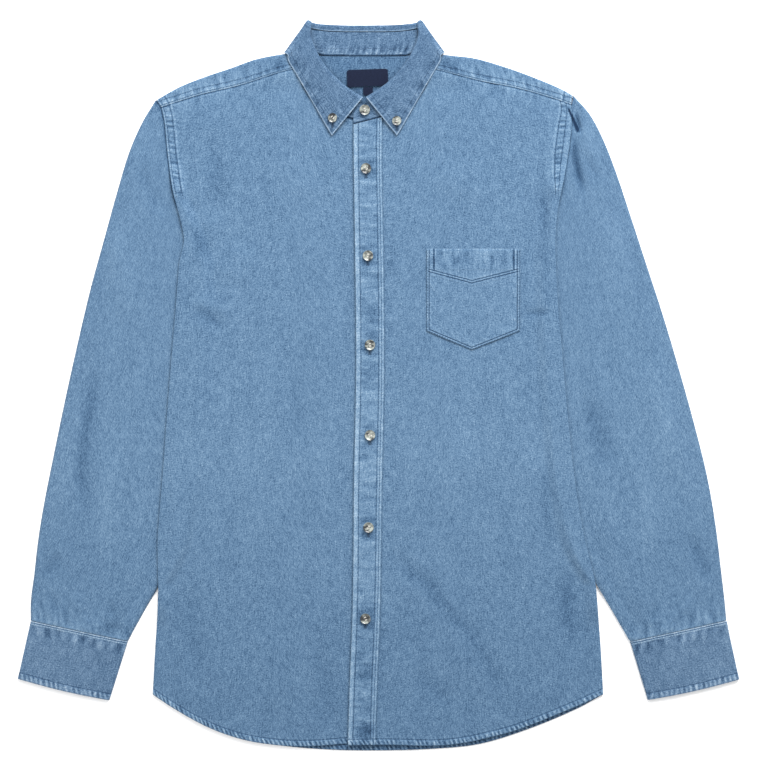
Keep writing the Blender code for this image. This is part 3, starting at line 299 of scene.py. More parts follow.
# Upper edge of a front: its yoke seam, then its neckline.
def frontTop(side, x):
    onNeck = np.interp(x, *zip(*sorted(neckline[side])))
    pastNeck = inward[side] * (x - yokeSeam[side][-1].x) > sameSpot
    return np.where(pastNeck, onNeck, levelOf(yokeSeam[side], x) - seamGap)


def frontGrid(side):
    return levelGrid(lambda y: frontColumns(side, y), lambda x: levelOf(hem[side], x),
                     lambda x: frontTop(side, x), rowLevels)


def backColumns(y):
    right, left = (sideX(side, y) + inward[side] * sideOffsets(side, y) for side in inward)
    middle = np.linspace(right[-1], left[-1], middleColumns)[1:-1]
    return np.concatenate((right, middle, left[::-1]))


# Mean distance along one axis of a grid, added up.
def knotsOf(grid, axis):
    steps = np.linalg.norm(np.diff(grid, axis=axis), axis=-1).mean(axis=1 - axis)
    return np.concatenate(([0.0], np.cumsum(np.maximum(steps, leastStep))))


# Places between the first and last knot, closer together near both ends.
def spread(knots, step, look):
    total = knots[-1]
    edge = min(look["edgeWidth"], total / 3)
    rim = np.linspace(0, edge, max(2, int(round(edge / look["edgeStep"])) + 1))
    middle = np.linspace(edge, total - edge, max(2, int(round((total - 2 * edge) / step)) + 1))
    return np.concatenate((rim, middle[1:-1], total - rim[::-1]))


# Places that keep every knot, so that neighbouring blocks share their points.
def spreadOnKnots(knots, step):
    places = [knots[0]]
    for low, high in zip(knots[:-1], knots[1:]):
        count = max(1, int(round((high - low) / step)))
        places += list(low + (high - low) * np.arange(1, count + 1) / count)
    return np.array(places)


def refine(grid, rowAt, columnAt, rowKnots, columnKnots):
    tall = curveThrough(grid, rowKnots, rowAt)
    return curveThrough(tall.swapaxes(0, 1), columnKnots, columnAt).swapaxes(0, 1)


# A grid made as fine as its look says.
def refined(grid, look):
    rows, columns = knotsOf(grid, 0), knotsOf(grid, 1)
    across = look.get("acrossStep", look["step"])
    return refine(grid, spread(rows, look["step"], look), spread(columns, across, look), rows, columns)


# A tube's grid, made fine all round. Its last column is its first one again.
def refinedTube(rings, look):
    count, wrap = rings.shape[1], 3
    padded = np.concatenate((rings[:, -wrap:], rings, rings[:, :wrap + 1]), axis=1)
    rows, columns = knotsOf(rings, 0), knotsOf(padded, 1)
    around = columns[wrap + count] - columns[wrap]
    columnAt = columns[wrap] + np.linspace(0, around, int(round(around / look["around"])) + 1)
    return refine(padded, spread(rows, look["step"], look), columnAt, rows, columns)


# Distance of every point of a grid from its first and last column, first and last row.
def borders(grid):
    across = np.linalg.norm(np.diff(grid, axis=1), axis=-1)
    across = np.concatenate((np.zeros((len(grid), 1)), np.cumsum(across, axis=1)), axis=1)
    down = np.linalg.norm(np.diff(grid, axis=0), axis=-1)
    down = np.concatenate((np.zeros((1, grid.shape[1])), np.cumsum(down, axis=0)), axis=0)
    return across, across[:, -1:] - across, down, down[-1:] - down


lookingUp = 1.6        # how soon faces that turn up count as the upper side


# Unit normals of a grid, up in the given part of it, and how far each point looks up.
def outwardOf(grid, rows=slice(None), columns=slice(1, 8)):
    way = np.cross(np.gradient(grid, axis=1), np.gradient(grid, axis=0))
    way /= np.maximum(np.linalg.norm(way, axis=-1, keepdims=True), 1e-9)
    if way[rows, columns, 2].mean() < 0:
        way = -way
    return way, smooth(way[..., 2] * lookingUp)


# Seeded smooth noise from -1 to 1, with features of the given size.
def softNoise(x, y, size, seed):
    count = 64
    lattice = np.random.RandomState(seed).uniform(-1, 1, (count, count))
    x, y = np.broadcast_arrays(np.asarray(x, float) / size, np.asarray(y, float) / size)
    column, row = np.floor(x).astype(int), np.floor(y).astype(int)
    right, up = smooth(x - column), smooth(y - row)
    low, high = (lattice[(row + b) % count, column % count] * (1 - right)
                 + lattice[(row + b) % count, (column + 1) % count] * right for b in (0, 1))
    return low * (1 - up) + high * up


# Low soft waves of a height and size.
def ripple(x, y, height, size, seed):
    return height * softNoise(x, y, size, seed)


puckerStretch = 0.3    # puckers are this much narrower than long
wander = {"aside": 5.0, "x": (46, 5), "y": (40, 6)}   # of creases: how far, and size and seed


# Puckers that run off a seam and die away from it.
def puckers(run, away, size, reach, height, seed):
    wave = softNoise(run, away * puckerStretch, size, seed) + ripple(run, away, 0.5, size / 2, seed + 1)
    return height * wave * bell(away, 0.0, reach)


# Ridges and troughs placed one by one, each wandering a little off its straight line.
def creases(rows, x, y):
    offX, offY = (wander["aside"] * softNoise(x, y, *wander[axis]) for axis in ("x", "y"))
    return foldRelief(rows, x + offX, y + offY)


# Painted light on the ridges of folds and painted shade in their troughs
paintedRidgeLight = 0.045      # a ridge of 1 is this much paler
paintedTroughShade = (0.1, 1.6)     # a trough is darker by this, times its depth to this power


# Painted light and shade of the folds: deep troughs are painted dark, ridges only a little paler.
def paintedFoldShading(folds):
    return paintedRidgeLight * np.maximum(folds, 0) - paintedTroughShade[0] * np.maximum(-folds, 0) ** paintedTroughShade[1]


# Cloth turned in along an edge.
def turnedIn(away, width, height, over=1.2):
    return height * smooth((width - away) / over)


# How seams look: size and slant of the puckers, their weight, the weight of ribs, which
# are their regular part where sewing has twisted a hem, and then, across the seam:
# distance from the edge, tone (paler above 0), share of puckering, and height.
seamLooks = {
    # narrow hem, twisted by its sewing into slanting ribs
    "hem": (4.9, 0.45, 0.9, 0.42, [
        (0, -0.06, 0.5, 0), (0.8, 0.05, 0.9, 0.3), (3.6, 0.02, 1, 0.4), (5.4, 0.04, 0.5, 0.25),
        (6.5, -0.24, 0.2, 0), (7.5, 0.03, 0.2, 0.1), (12, 0, 0.1, 0.1), (18, 0, 0, 0.1)]),
    # armhole: the body side is felled and topstitched, the sleeve side puckers; both have painted shadow
    # along the join
    "armhole": (5.6, 0.15, 0.8, 0.2, [
        (0, -0.3, 0.1, 0), (0.8, 0.16, 0.2, 0.35), (1.8, 0.2, 0.3, 0.5), (2.7, -0.2, 0.4, 0.45),
        (3.7, 0.02, 1, 0.45), (8.4, 0, 1, 0.4), (9.6, -0.26, 0.4, 0), (10.7, 0.06, 0.3, 0.1),
        (11.6, 0.18, 0.3, 0.15), (13.2, 0.02, 0.3, 0.1), (26, 0, 0, 0.1)]),
    "wideArmhole": (5.6, 0.15, 0.8, 0.2, [
        (0, -0.16, 0.1, 0), (0.7, 0.06, 0.2, 0.35), (2.6, 0.09, 0.3, 0.4), (4, 0.03, 0.4, 0.45),
        (4.8, -0.22, 0.4, 0.3), (5.6, 0.04, 1, 0.45), (8.9, 0.02, 1, 0.4), (9.7, -0.26, 0.3, 0),
        (10.5, 0.08, 0.3, 0.1), (11.3, 0.16, 0.2, 0.15), (12.6, 0.02, 0.2, 0.1), (22, 0, 0, 0.1)]),
    # sleeve side: painted shadow along the join, under the body's edge, then puckers
    "sleeveHead": (9, 0.1, 0.4, 0, [
        (0, -0.34, 0.3, 0), (1.4, -0.22, 0.3, 0), (3.6, -0.03, 0.8, 0.2), (9, 0, 0.7, 0.2), (22, 0, 0, 0.2)]),
    # pleat: a sharp fold, with painted shade down its crease
    "pleat": (9, 0, 0, 0, [
        (0, -0.85, 0, -0.5), (0.8, -0.7, 0, -0.3), (2, -0.1, 0, 0), (3.4, 0.08, 0, 0.1), (6, 0, 0, 0)]),
    # front yoke seam: the yoke laps over the front and is sewn down twice
    "yokeLap": (8, 0.2, 1.3, 0, [
        (0, 0.2, 0.1, 0), (0.9, 0.28, 0.2, 0.3), (1.7, -0.2, 0.3, 0.05), (2.6, 0.13, 0.6, 0.3),
        (5.8, 0, 0.9, 0.25), (6.8, -0.14, 0.6, 0.1), (7.8, 0.05, 0.6, 0.25), (22, 0, 0, 0.2)]),
    "underLap": (9, 0.2, 0.6, 0, [
        (0, -0.36, 0.2, 0), (1, -0.1, 0.5, 0.1), (2, 0.12, 0.6, 0.2), (3.6, 0.02, 0.9, 0.2),
        (18, 0, 0, 0.2)]),
    # placket: free edge, sewn edge, and the front beside it
    "freeEdge": (9, 0.1, 0.65, 0, [
        (0, 0.1, 0, 0), (0.7, 0.21, 0.2, 0.4), (4, 0.17, 0.4, 0.4), (4.7, 0.04, 0.5, 0.2),
        (5.4, -0.26, 0.5, 0), (6.3, 0.04, 0.9, 0.2), (10, 0, 1, 0.2), (17, 0, 0.4, 0.2)]),
    "sewnEdge": (8, 0.1, 0.65, 0, [
        (0, -0.06, 0, 0), (0.8, 0.2, 0.2, 0.3), (1.9, 0.14, 0.3, 0.3), (2.7, -0.1, 0.3, 0.1),
        (3.5, 0.14, 0.3, 0.3), (4.9, 0.09, 0.4, 0.2), (5.9, -0.28, 0.5, 0), (6.9, 0, 0.9, 0.2),
        (15, 0, 0.4, 0.2)]),
    "besideStrip": (9, 0.1, 0.45, 0, [
        (0, -0.28, 0.3, 0), (1.4, 0, 0.7, 0.2), (8, 0, 0.7, 0.2), (16, 0, 0, 0.2)]),
    # pocket: outline, with painted shadow at its edge; mouth and the sewn lines of its facing
    "patch": (8, 0.3, 0.5, 0, [
        (0, -0.3, 0, 0), (0.8, 0.1, 0.1, 0.3), (1.9, 0.14, 0.2, 0.3), (2.7, -0.5, 0.2, 0),
        (3.6, 0.06, 0.6, 0.3), (7, 0, 0.9, 0.25), (14, 0, 0, 0.25)]),
    "mouth": (9, 0, 0.75, 0, [
        (0, 0.18, 0.2, 0), (1.2, 0.03, 0.8, 0.2), (14, 0, 1, 0.2), (24, 0, 0.3, 0.2), (28, 0, 0, 0.2)]),
    "facing": (9, 0, 0.4, 0, [
        (0, 0, 0, 0.2), (3.1, 0.06, 0.2, 0.2), (4, -0.6, 0.2, 0), (5, 0.16, 0.2, 0.2),
        (5.8, 0.12, 0.2, 0.2), (6.6, -0.45, 0.2, 0), (7.6, 0.1, 0.6, 0.2), (12, 0, 0, 0.2)]),
    "bar": (5, 0, 0.1, 0, [(0, -0.44, 0, 0), (0.9, -0.26, 0, 0.1), (1.7, 0.12, 0, 0.2), (3, 0, 0, 0.2)]),
    # cuff: its top edge is sewn over the gathered sleeve, with painted shade in the valley between that edge
    # and its stitching; its lower edge turned in
    "gathers": (9, 0.1, 0.75, 0, [
        (0, 0.1, 0.5, 0), (1.2, 0.08, 1, 0.2), (12, 0.02, 0.6, 0.2), (30, 0, 0, 0.2)]),
    "cuffTop": (13, 0.1, 0.7, 0.26, [
        (0, 0.38, 0, 0.2), (1, 0.32, 0, 0.3), (1.6, -0.2, 0, 0.1), (2, -0.16, 0, 0.1), (2.6, 0.26, 0.1, 0.3),
        (3.3, 0.18, 0.2, 0.3), (4.2, 0, 0.5, 0.2), (5.4, -0.03, 1, 0.2), (11, -0.03, 1, 0.2),
        (13.5, -0.02, 0.4, 0.2), (18, 0, 0, 0.2)]),
    "cuffHem": (5.4, 0.1, 0.9, 0.34, [
        (0, 0, 0.4, 0), (1, 0.07, 0.8, 0.3), (4.8, 0.07, 1, 0.3), (6.4, 0, 0.7, 0.2), (7.4, -0.22, 0.2, 0),
        (8.5, 0, 0.2, 0.1), (12, 0, 0, 0.1)]),
    # collar: pale worn edge, topstitched; and the stand sewn into the neckline
    "collarEdge": (8, 0.1, 1, 0, [
        (0, 0.4, 0, 0), (1, 0.34, 0.1, 0.2), (1.8, -0.04, 0.6, 0.3), (5.2, 0.03, 1, 0.3),
        (6.2, -0.1, 0.7, 0.1), (7.2, 0.02, 0.8, 0.2), (20, 0, 0, 0.2)]),
    "lipEdge": (9, 0, 0.6, 0, [
        (0, 0.28, 0.1, 0), (0.9, 0.16, 0.2, 0.1), (1.9, -0.06, 0.6, 0.2), (9, 0, 0.6, 0.2), (16, 0, 0, 0.2)]),
    "neckSeam": (6.5, 0.2, 1.3, 0.12, [
        (0, -0.36, 0.1, 0), (0.9, -0.2, 0.2, 0.1), (1.7, 0.16, 0.7, 0.3), (3.4, 0.05, 1, 0.3),
        (6, 0, 0.8, 0.2), (12, 0, 0.2, 0.2)]),
}


# Faces between the points of a grid, counted on from the first one.
def gridFaces(grid, first=0):
    rows, columns = grid.shape[:2]
    return [(at, at + 1, at + columns + 1, at + columns) for row in range(rows - 1)
            for at in range(first + row * columns, first + row * columns + columns - 1)]


# Places of a grid on its flat cut.
def flatOf(grid):
    across, _, down, _ = borders(grid)
    return np.stack((across - across[:, -1:] / 2, -down), axis=-1)


def newPiece(name, mesh, material):
    mesh.shade_smooth()
    mesh.materials.append(material)
    piece = bpy.data.objects.new(name, mesh)
    bpy.context.collection.objects.link(piece)
    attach(piece, "root")
    return piece


# One piece of cloth from blocks of (grid, tone, seams), in place of its CAD node. A seam is
# where each point lies along and away from it, and how much it shows. Faces whose middle
# upAt picks, in metres, must look up. flat is given where it isn't measured on the grid.
def clothPiece(name, node, blocks, look, upAt=lambda spot: True, offset=-1, flat=None):
    points, faces, places, tones = [], [], [], []
    for grid, tone, _ in blocks:
        faces += gridFaces(grid, len(points))
        points += ((grid.reshape(-1, 3) - origin) * mm).tolist()
        places += ((flatOf(grid) if flat is None else flat).reshape(-1, 2) * mm).tolist()
        # painted shade by level, darker towards the hem, on every piece
        tones += (tone + np.interp(grid[..., 1], *zip(*denimLook["fade"]))).ravel().tolist()
    mesh = bpy.data.meshes.new(name)
    mesh.from_pydata(points, [], faces)
    corners = np.zeros(len(mesh.loops), dtype=np.int32)
    mesh.loops.foreach_get("vertex_index", corners)
    mesh.uv_layers.new(name="clothMap").data.foreach_set("uv", np.array(places)[corners].ravel())
    mesh.attributes.new("tone", "FLOAT", "POINT").data.foreach_set("value", tones)
    for seam in blocks[0][2]:
        values = [np.stack(np.broadcast_arrays(*seams[seam], grid[..., 0])[:3], axis=-1).reshape(-1, 3)
                  for grid, _, seams in blocks]
        values = np.concatenate(values) * (mm, mm, 1.0)
        mesh.attributes.new(seam, "FLOAT_VECTOR", "POINT").data.foreach_set("vector", values.ravel())
    work = bmesh.new()
    work.from_mesh(mesh)
    bmesh.ops.remove_doubles(work, verts=work.verts[:], dist=lowest * mm)
    bmesh.ops.recalc_face_normals(work, faces=work.faces[:])
    picked = [face for face in work.faces if upAt(face.calc_center_median())]
    if sum(face.normal.z * face.calc_area() for face in picked) < 0:
        bmesh.ops.reverse_faces(work, faces=work.faces[:])
    work.to_mesh(mesh)
    work.free()
    piece = newPiece(name, mesh, look["material"])
    bpy.ops.object.select_all(action="DESELECT")
    piece.select_set(True)
    bpy.context.view_layer.objects.active = piece
    thicken = piece.modifiers.new("thickness", "SOLIDIFY")
    thicken.thickness = look["wall"] * mm
    thicken.offset = offset
    bpy.ops.object.modifier_apply(modifier=thicken.name)
    mesh.set_sharp_from_angle(angle=radians(50))
    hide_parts(node)
    print(name, len(mesh.polygons), "faces")
    return piece


def treeOf(grid):
    return BVHTree.FromPolygons([Vector(point) for point in grid.reshape(-1, 3)], gridFaces(grid))


# Height of a surface over a place, and the way it faces there.
def heightOn(tree, x, y):
    spot, facing, _, _ = tree.ray_cast(Vector((x, y, 100.0)), Vector((0, 0, -1)))
    return (spot.z, facing if facing.z > 0 else -facing) if spot else (None, None)


def fromHex(text):
    parts = [int(text[i:i + 2], 16) / 255 for i in (0, 2, 4)]
    return tuple(p / 12.92 if p <= 0.04045 else ((p + 0.055) / 1.055) ** 2.4 for p in parts) + (1.0,)


# Adds a node: its settings, then values or links for its inputs, in order or by name.
def addNode(tree, kind, settings=None, *values, **named):
    node = tree.nodes.new("ShaderNode" + kind)
    for key, value in (settings or {}).items():
        setattr(node, key, value)
    for key, value in [*enumerate(values), *named.items()]:
        if isinstance(value, bpy.types.NodeSocket):
            tree.links.new(value, node.inputs[key])
        else:
            node.inputs[key].default_value = value
    return node


def newMaterial(name, roughness, **levels):
    material = bpy.data.materials.new(name)
    material.use_nodes = True
    shader = material.node_tree.nodes["Principled BSDF"]
    shader.inputs["Roughness"].default_value = roughness
    sockets = {"sheen": "Sheen Weight", "specular": "Specular IOR Level", "coat": "Coat Weight"}
    for key, value in levels.items():
        shader.inputs[sockets[key]].default_value = value
    return material, material.node_tree, shader


# Noise with features of the given size in millimetres, along and across.
def patternOn(tree, coords, size, detail=2.0, rough=0.55):
    wide, high = [1 / (part * mm) for part in (size if isinstance(size, tuple) else (size, size))]
    placed = addNode(tree, "Mapping", None, coords, Scale=(wide, high, wide))
    return addNode(tree, "TexNoise", None, placed.outputs[0], Scale=1.0,
                   Detail=detail, Roughness=rough).outputs["Fac"]


# start + the sum of (value - centre) * weight
def sumOf(tree, start, parts):
    total = start
    for socket, centre, weight in parts:
        moved = addNode(tree, "Math", {"operation": "SUBTRACT"}, socket, centre).outputs[0]
        total = addNode(tree, "Math", {"operation": "MULTIPLY_ADD"}, moved, weight, total).outputs[0]
    return total


def layStops(colourRamp, rows):
    stops = colourRamp.color_ramp.elements
    while len(stops) < len(rows):
        stops.new(1.0)
    for stop, (place, colour) in zip(stops, rows):
        stop.position = place
        stop.color = colour


# Colours a surface by a pattern, with a hex colour for each of its levels.
def colourBy(tree, shader, pattern, rows, cast=(1.0, 1.0, 1.0)):
    colours = addNode(tree, "ValToRGB", None, pattern)
    layStops(colours, [(place, [part * by for part, by in zip(fromHex(colour), (*cast, 1.0))])
                       for place, colour in rows])
    tree.links.new(colours.outputs[0], shader.inputs["Base Color"])


waveUnit = 0.314   # a wave texture of scale 1 repeats after this length


# Reads one seam's coordinates and gives its tone and height as parts for sumOf.
def seamParts(tree, seam):
    pitch, slant, weight, ribs, rows = seamLooks[seam]
    reach = rows[-1][0]
    place = addNode(tree, "Attribute", {"attribute_name": seam}).outputs["Vector"]
    run, aside, shown = addNode(tree, "SeparateXYZ", None, place).outputs
    away = addNode(tree, "Math", {"operation": "ABSOLUTE"}, aside).outputs[0]
    share = addNode(tree, "Math", {"operation": "DIVIDE", "use_clamp": True}, away, reach * mm)
    across = addNode(tree, "ValToRGB", None, share.outputs[0])
    layStops(across, [(at / reach, (0.5 + tone / 2, pucker, 0.5 + height / 2, 1.0))
                      for at, tone, pucker, height in rows])
    tone, pucker, height = addNode(tree, "SeparateColor", None, across.outputs[0]).outputs
    slanted = addNode(tree, "Math", {"operation": "MULTIPLY_ADD"}, away, slant, run)
    spot = addNode(tree, "CombineXYZ", None, slanted.outputs[0], away).outputs[0]
    wave = patternOn(tree, spot, (pitch * 0.7, pitch * 3.0), 1.0)
    times = {"operation": "MULTIPLY"}
    twice = addNode(tree, "Math", times, shown, 2.0).outputs[0]
    puckered = addNode(tree, "Math", times, shown, pucker).outputs[0]
    parts = [(wave, 0.5, addNode(tree, "Math", times, puckered, weight).outputs[0])]
    if ribs:
        ribbed = addNode(tree, "TexWave", None, spot, waveUnit / (pitch * mm), 4.0, 1.0, 0.8).outputs["Fac"]
        parts.append((ribbed, 0.5, addNode(tree, "Math", times, puckered, ribs).outputs[0]))
    return [(tone, 0.5, twice)] + parts, [(height, 0.5, twice)] + parts


denimLook = {   # size of each pattern, and its weight in the tone
    "grain": (1.4, 1.18),         # broken colour of the twill; real threads are 0.4, too fine to show
    "warp": ((1.4, 8.0), 0.44),   # slubs along the warp
    "weft": ((8.0, 1.2), 0.28),   # and along the weft
    "mottle": ((6.0, 10.0), 0.24),  # uneven fading
    "cloud": ((17.0, 60.0), 0.14),
    "relief": 0.09,         # height of the weave
    "colours": [(0.0, "10263f"), (0.3, "304a65"), (0.5, "4a6580"), (0.72, "637d95"), (1.0, "8ca1b3")],
    # fade: painted shade of the light falling off down the shirt, darker towards the hem, palest a little
    # below the middle
    "fade": [(-400, -0.03), (-260, -0.01), (-80, 0.035), (120, 0.01), (400, 0.0)],   # hem to neck
    "trimCast": (1.07, 1.0, 0.98),   # the stiffened pieces have faded greyer
}


# Denim: indigo warp over white weft, woven in twill and washed until the ridges fade.
def washedDenim(part, seams, darker=0.0, cast=(1.0, 1.0, 1.0)):
    material, tree, shader = newMaterial("washed twill denim, " + part, 0.9, sheen=0.06, specular=0.15)
    coords = addNode(tree, "UVMap", {"uv_map": "clothMap"}).outputs[0]
    weave = [(patternOn(tree, coords, denimLook["grain"][0], 3.0, 0.6), 0.5, denimLook["grain"][1])]
    weave += [(patternOn(tree, coords, size), 0.5, weight)
              for size, weight in (denimLook[name] for name in ("warp", "weft", "mottle", "cloud"))]
    # the tone attribute carries painted light and shade of folds, under the collar, round buttons and down
    # the shirt, with the puckers' tone
    tones = weave + [(addNode(tree, "Attribute", {"attribute_name": "tone"}).outputs["Fac"], 0.0, 1.0)]
    heights = [(socket, centre, denimLook["relief"]) for socket, centre, _ in weave[:3]]
    for seam in seams:
        seamTones, seamHeights = seamParts(tree, seam)
        tones += seamTones
        heights += seamHeights
    colourBy(tree, shader, sumOf(tree, 0.5 - darker, tones), denimLook["colours"], cast)
    bump = addNode(tree, "Bump", None, Height=sumOf(tree, 0.0, heights), Distance=mm)
    tree.links.new(bump.outputs[0], shader.inputs["Normal"])
    return material


print("tables and patterns ready")

# Fronts. Puckers: their size, how far they reach from the edge, and their height
front = {
    "wall": 0.9, "step": 2.7, "edgeStep": 0.95, "edgeWidth": 15.0, "seed": {"right": 11, "left": 31},
    "hemWidth": 6.6, "armholeBand": 9.8, "stitchInsets": {"right": 2.7, "left": 4.8}, "outerStitch": 9.7,
    "armholeEnds": (206.0, 12.0),   # its seam comes in above this level, over this ramp
    "air": 0.2,                     # over the back, where the two press together
    "turnedBand": (0.25, 1.5), "turnedHem": 0.3,   # height of the cloth turned in there
    "foldsIn": ((2, 12), (4, 16), (6, 12)),   # creases come in off the side, top and hem, over ramps
    "stripSide": {"right": (3.0, 10.0), "left": (0.5, 3.0)},   # and puckers off the placket
    "narrowed": (0.22, 6.0, 3.0),   # left armhole: by how much, and over which ramps up and in
    "sidePuckers": (13, 20, 0.35), "topPuckers": (14, 14, 0.35), "stripPuckers": (15, 13, 0.35),
    "ripple": (0.2, 38), "fineTone": 0.05,
    "material": washedDenim("front panels",
                            ["hem", "armhole", "wideArmhole", "underLap", "besideStrip", "pleat"]),
    "wideLine": [(199.0, 194.3), (214.0, 193.3), (234.0, 192.9), (255.0, 193.6), (275.0, 195.7),
                 (296.0, 198.4), (310.0, 199.0)],   # level and x of the left armhole's stitching
    "wideLeast": 3.0,   # which stays this far inside the seam
    # the pleat is drawn only in the material: a bump, with painted shade down its crease
    "pleat": (208.6, 304.0, 218.4, 281.5),   # a sharp fold at the left armhole, end to end
    "pleatEnds": (5.0, 0.8), "pleatWidth": (0.6, 0.6),   # it fades at its ends, and widens downwards
    # creases
    "right": [(-206, 236, -197, 160, 17, 0.6), (-212, 184, -184, 136, 17, -1.2),
              (-210, 84, -166, 64, 16, -1.0), (-186, 290, -178, 180, 24, -0.8),
              (-174, 150, -160, 60, 26, 0.5), (-230, -50, -222, -190, 16, 0.5),
              (-60, -282, -54, -385, 22, -0.8), (-120, 260, -60, 190, 32, 0.5),
              (-150, -40, -132, -180, 36, 0.5), (-90, 60, -82, -80, 32, -0.5),
              (-212, -210, -190, -330, 26, -0.6)],
    "left": [(184, 256, 187, 84, 13, -1.1), (191, 306, 191, 186, 11, 0.7), (156, 77, 196, 77, 8, -1.1),
             (182, -60, 184, -206, 18, -0.7), (4, -176, 94, -258, 22, -1.0), (74, -232, 118, -300, 22, -0.8),
             (100, -280, 136, -338, 20, -0.8), (34, -298, 82, -360, 22, -0.7),
             (204, -180, 214, -306, 28, -1.0), (208, -130, 222, -226, 14, 0.6),
             (60, 250, 120, 200, 32, 0.5), (70, 0, 100, -120, 38, 0.5)],
}
# Where a panel meets the neckline, it lies flat and lower by this, beside the stand
neckSide = {"half": 77.0, "ramp": 3.0, "reach": 5.0, "lower": 0.3, "seam": (73.5, 1.5)}
seamReach = 8.0   # points this near a yoke seam move with it


# Where points lie along and beside the pleat, and how much of it shows.
def pleatAt(x, y):
    ahead, aside, long = besideLine(*front["pleat"], x, y)
    (over, past), (least, more) = front["pleatEnds"], front["pleatWidth"]
    widening = least + more * smooth(ahead / long)
    return y, aside / widening, smooth(ahead / over + past) * smooth((long - ahead) / over + past)


# The left armhole is pressed until its edges nearly meet: how far to move points.
def pressedTo(side, y, fromSide):
    much, rising, inside = front["narrowed"]
    return much * (side == "left") * ramp(y, seamHidden[0], rising) * smooth(1 - fromSide / inside)


def frontSheet(side):
    right, seed = side == "right", front["seed"][side]
    grid = refined(frontGrid(side), front)
    x, y = grid[..., 0], grid[..., 1]
    fromSide, _, fromTop, fromHem = borders(grid)
    x += pressedTo(side, y, fromSide)
    toSeam = levelOf(yokeSeam[side], x[0]) - seamGap - y[0]
    y += toSeam * ramp(np.abs(x[0] - neckX), *neckSide["seam"]) * smooth(1 - fromTop / seamReach)
    onNeck = smooth((neckSide["half"] - np.abs(x - neckX)) / neckSide["ramp"])
    onNeck = onNeck * smooth(1 - fromTop / neckSide["reach"])
    onArmhole = ramp(y, *front["armholeEnds"])
    offSide, offTop, offHem = front["foldsIn"]
    inner = ramp(fromSide, *offSide) * ramp(fromTop, *offTop) * ramp(fromHem, *offHem)
    folds = creases(front[side], x, y) * inner
    broad = folds + ripple(x, y, *front["ripple"], seed) * inner
    fine = onArmhole * (puckers(y, fromSide, *front["sidePuckers"], seed + 3)
                        + turnedIn(fromSide, front["armholeBand"], *front["turnedBand"]))
    fine += puckers(x, fromTop, *front["topPuckers"], seed + 5)
    fine += turnedIn(fromHem, front["hemWidth"], front["turnedHem"])
    free, sewn = (along(placketStrip, "y", edge, y) for edge in ("free", "sewn"))
    if right:
        beside, clear = 0 * x, ramp(free - x, *front["stripSide"][side])
        fine *= clear
    else:
        beside, clear = x - sewn, ramp(x - sewn, *front["stripSide"][side])
        fine = fine * clear + clear * puckers(y, np.abs(beside), *front["stripPuckers"], seed + 7)
    folds *= clear
    fine *= 1 - onNeck
    over = bodyLift(x, y) + cloth + front["air"] + front["wall"] + backRise(x, y)
    high = frontUnder(x, y, side) + cloth + broad * clear + fine - neckSide["lower"] * onNeck
    grid[..., 2] = np.maximum(high, over)
    strip = np.maximum(sideX("left", y) - np.interp(y, *zip(*front["wideLine"])), front["wideLeast"])
    toLine = fromSide if right else fromSide * front["armholeBand"] / strip
    seams = {"hem": (x, fromHem, 1.0), "armhole": (y, fromSide, onArmhole * right),
             "wideArmhole": (y, toLine, onArmhole * (not right)), "underLap": (x, fromTop, 1.0),
             "besideStrip": (y, beside, 0.0 if right else clear), "pleat": pleatAt(x, y)}
    # tone: painted shade and light of the creases, plus the tone of the puckers
    piece = clothPiece("shirtFront" + side.capitalize(), "front_" + side,
                       [(grid, paintedFoldShading(folds) + fine * front["fineTone"], seams)], front)
    return grid, piece, toLine


# Back. Its soft folds lift it a little off the table, between the sides
back = {
    "wall": 0.95, "step": 4.2, "edgeStep": 1.2, "edgeWidth": 10.0, "shade": 0.12,
    "turnedHem": 0.2,
    "foldsIn": (30.0, 30.0),   # its creases come in this far from a side, over this ramp
    "material": washedDenim("back panel", ["hem", "underLap", "armhole"]),
    "creases": [(-30, 236, -78, 128, 34, 0.6), (64, 150, 96, 20, 38, 0.6), (-128, 60, -96, -80, 40, 0.5),
                (20, 20, -24, -120, 34, 0.6), (-84, -150, -132, -300, 36, 0.6),
                (118, -110, 70, -260, 42, 0.6), (10, -220, 36, -350, 30, 0.5)],
}


def backRise(x, y):
    return creases(back["creases"], x, y) * ramp(insideBody(x, y), *back["foldsIn"])


def backSheet():
    levels = [yokeBack - seamGap] + [level for level in rowLevels if level < yokeBack]
    coarse = levelGrid(backColumns, lambda x: levelOf(hem["back"], x), lambda x: levels[0], levels)
    grid = refined(coarse, back)
    x, y = grid[..., 0], grid[..., 1]
    fromRight, fromLeft, fromTop, fromHem = borders(grid)
    rise = backRise(x, y)
    turned = turnedIn(fromHem, front["hemWidth"], back["turnedHem"])
    grid[..., 2] = bodyLift(x, y) + cloth + rise + turned
    seams = {"hem": (x, fromHem, 1.0), "underLap": (x, fromTop, 1.0),
             "armhole": (y, np.minimum(fromRight, fromLeft), ramp(y, *front["armholeEnds"]))}
    # tone: painted shade, the whole back darker, and darker again where its folds rise
    piece = clothPiece("shirtBack", "back", [(grid, -back["shade"] + paintedFoldShading(-rise), seams)], back)
    return grid


rightFront, rightFrontPiece, rightStrip = frontSheet("right")
leftFront, leftFrontPiece, leftStrip = frontSheet("left")
backGrid = backSheet()

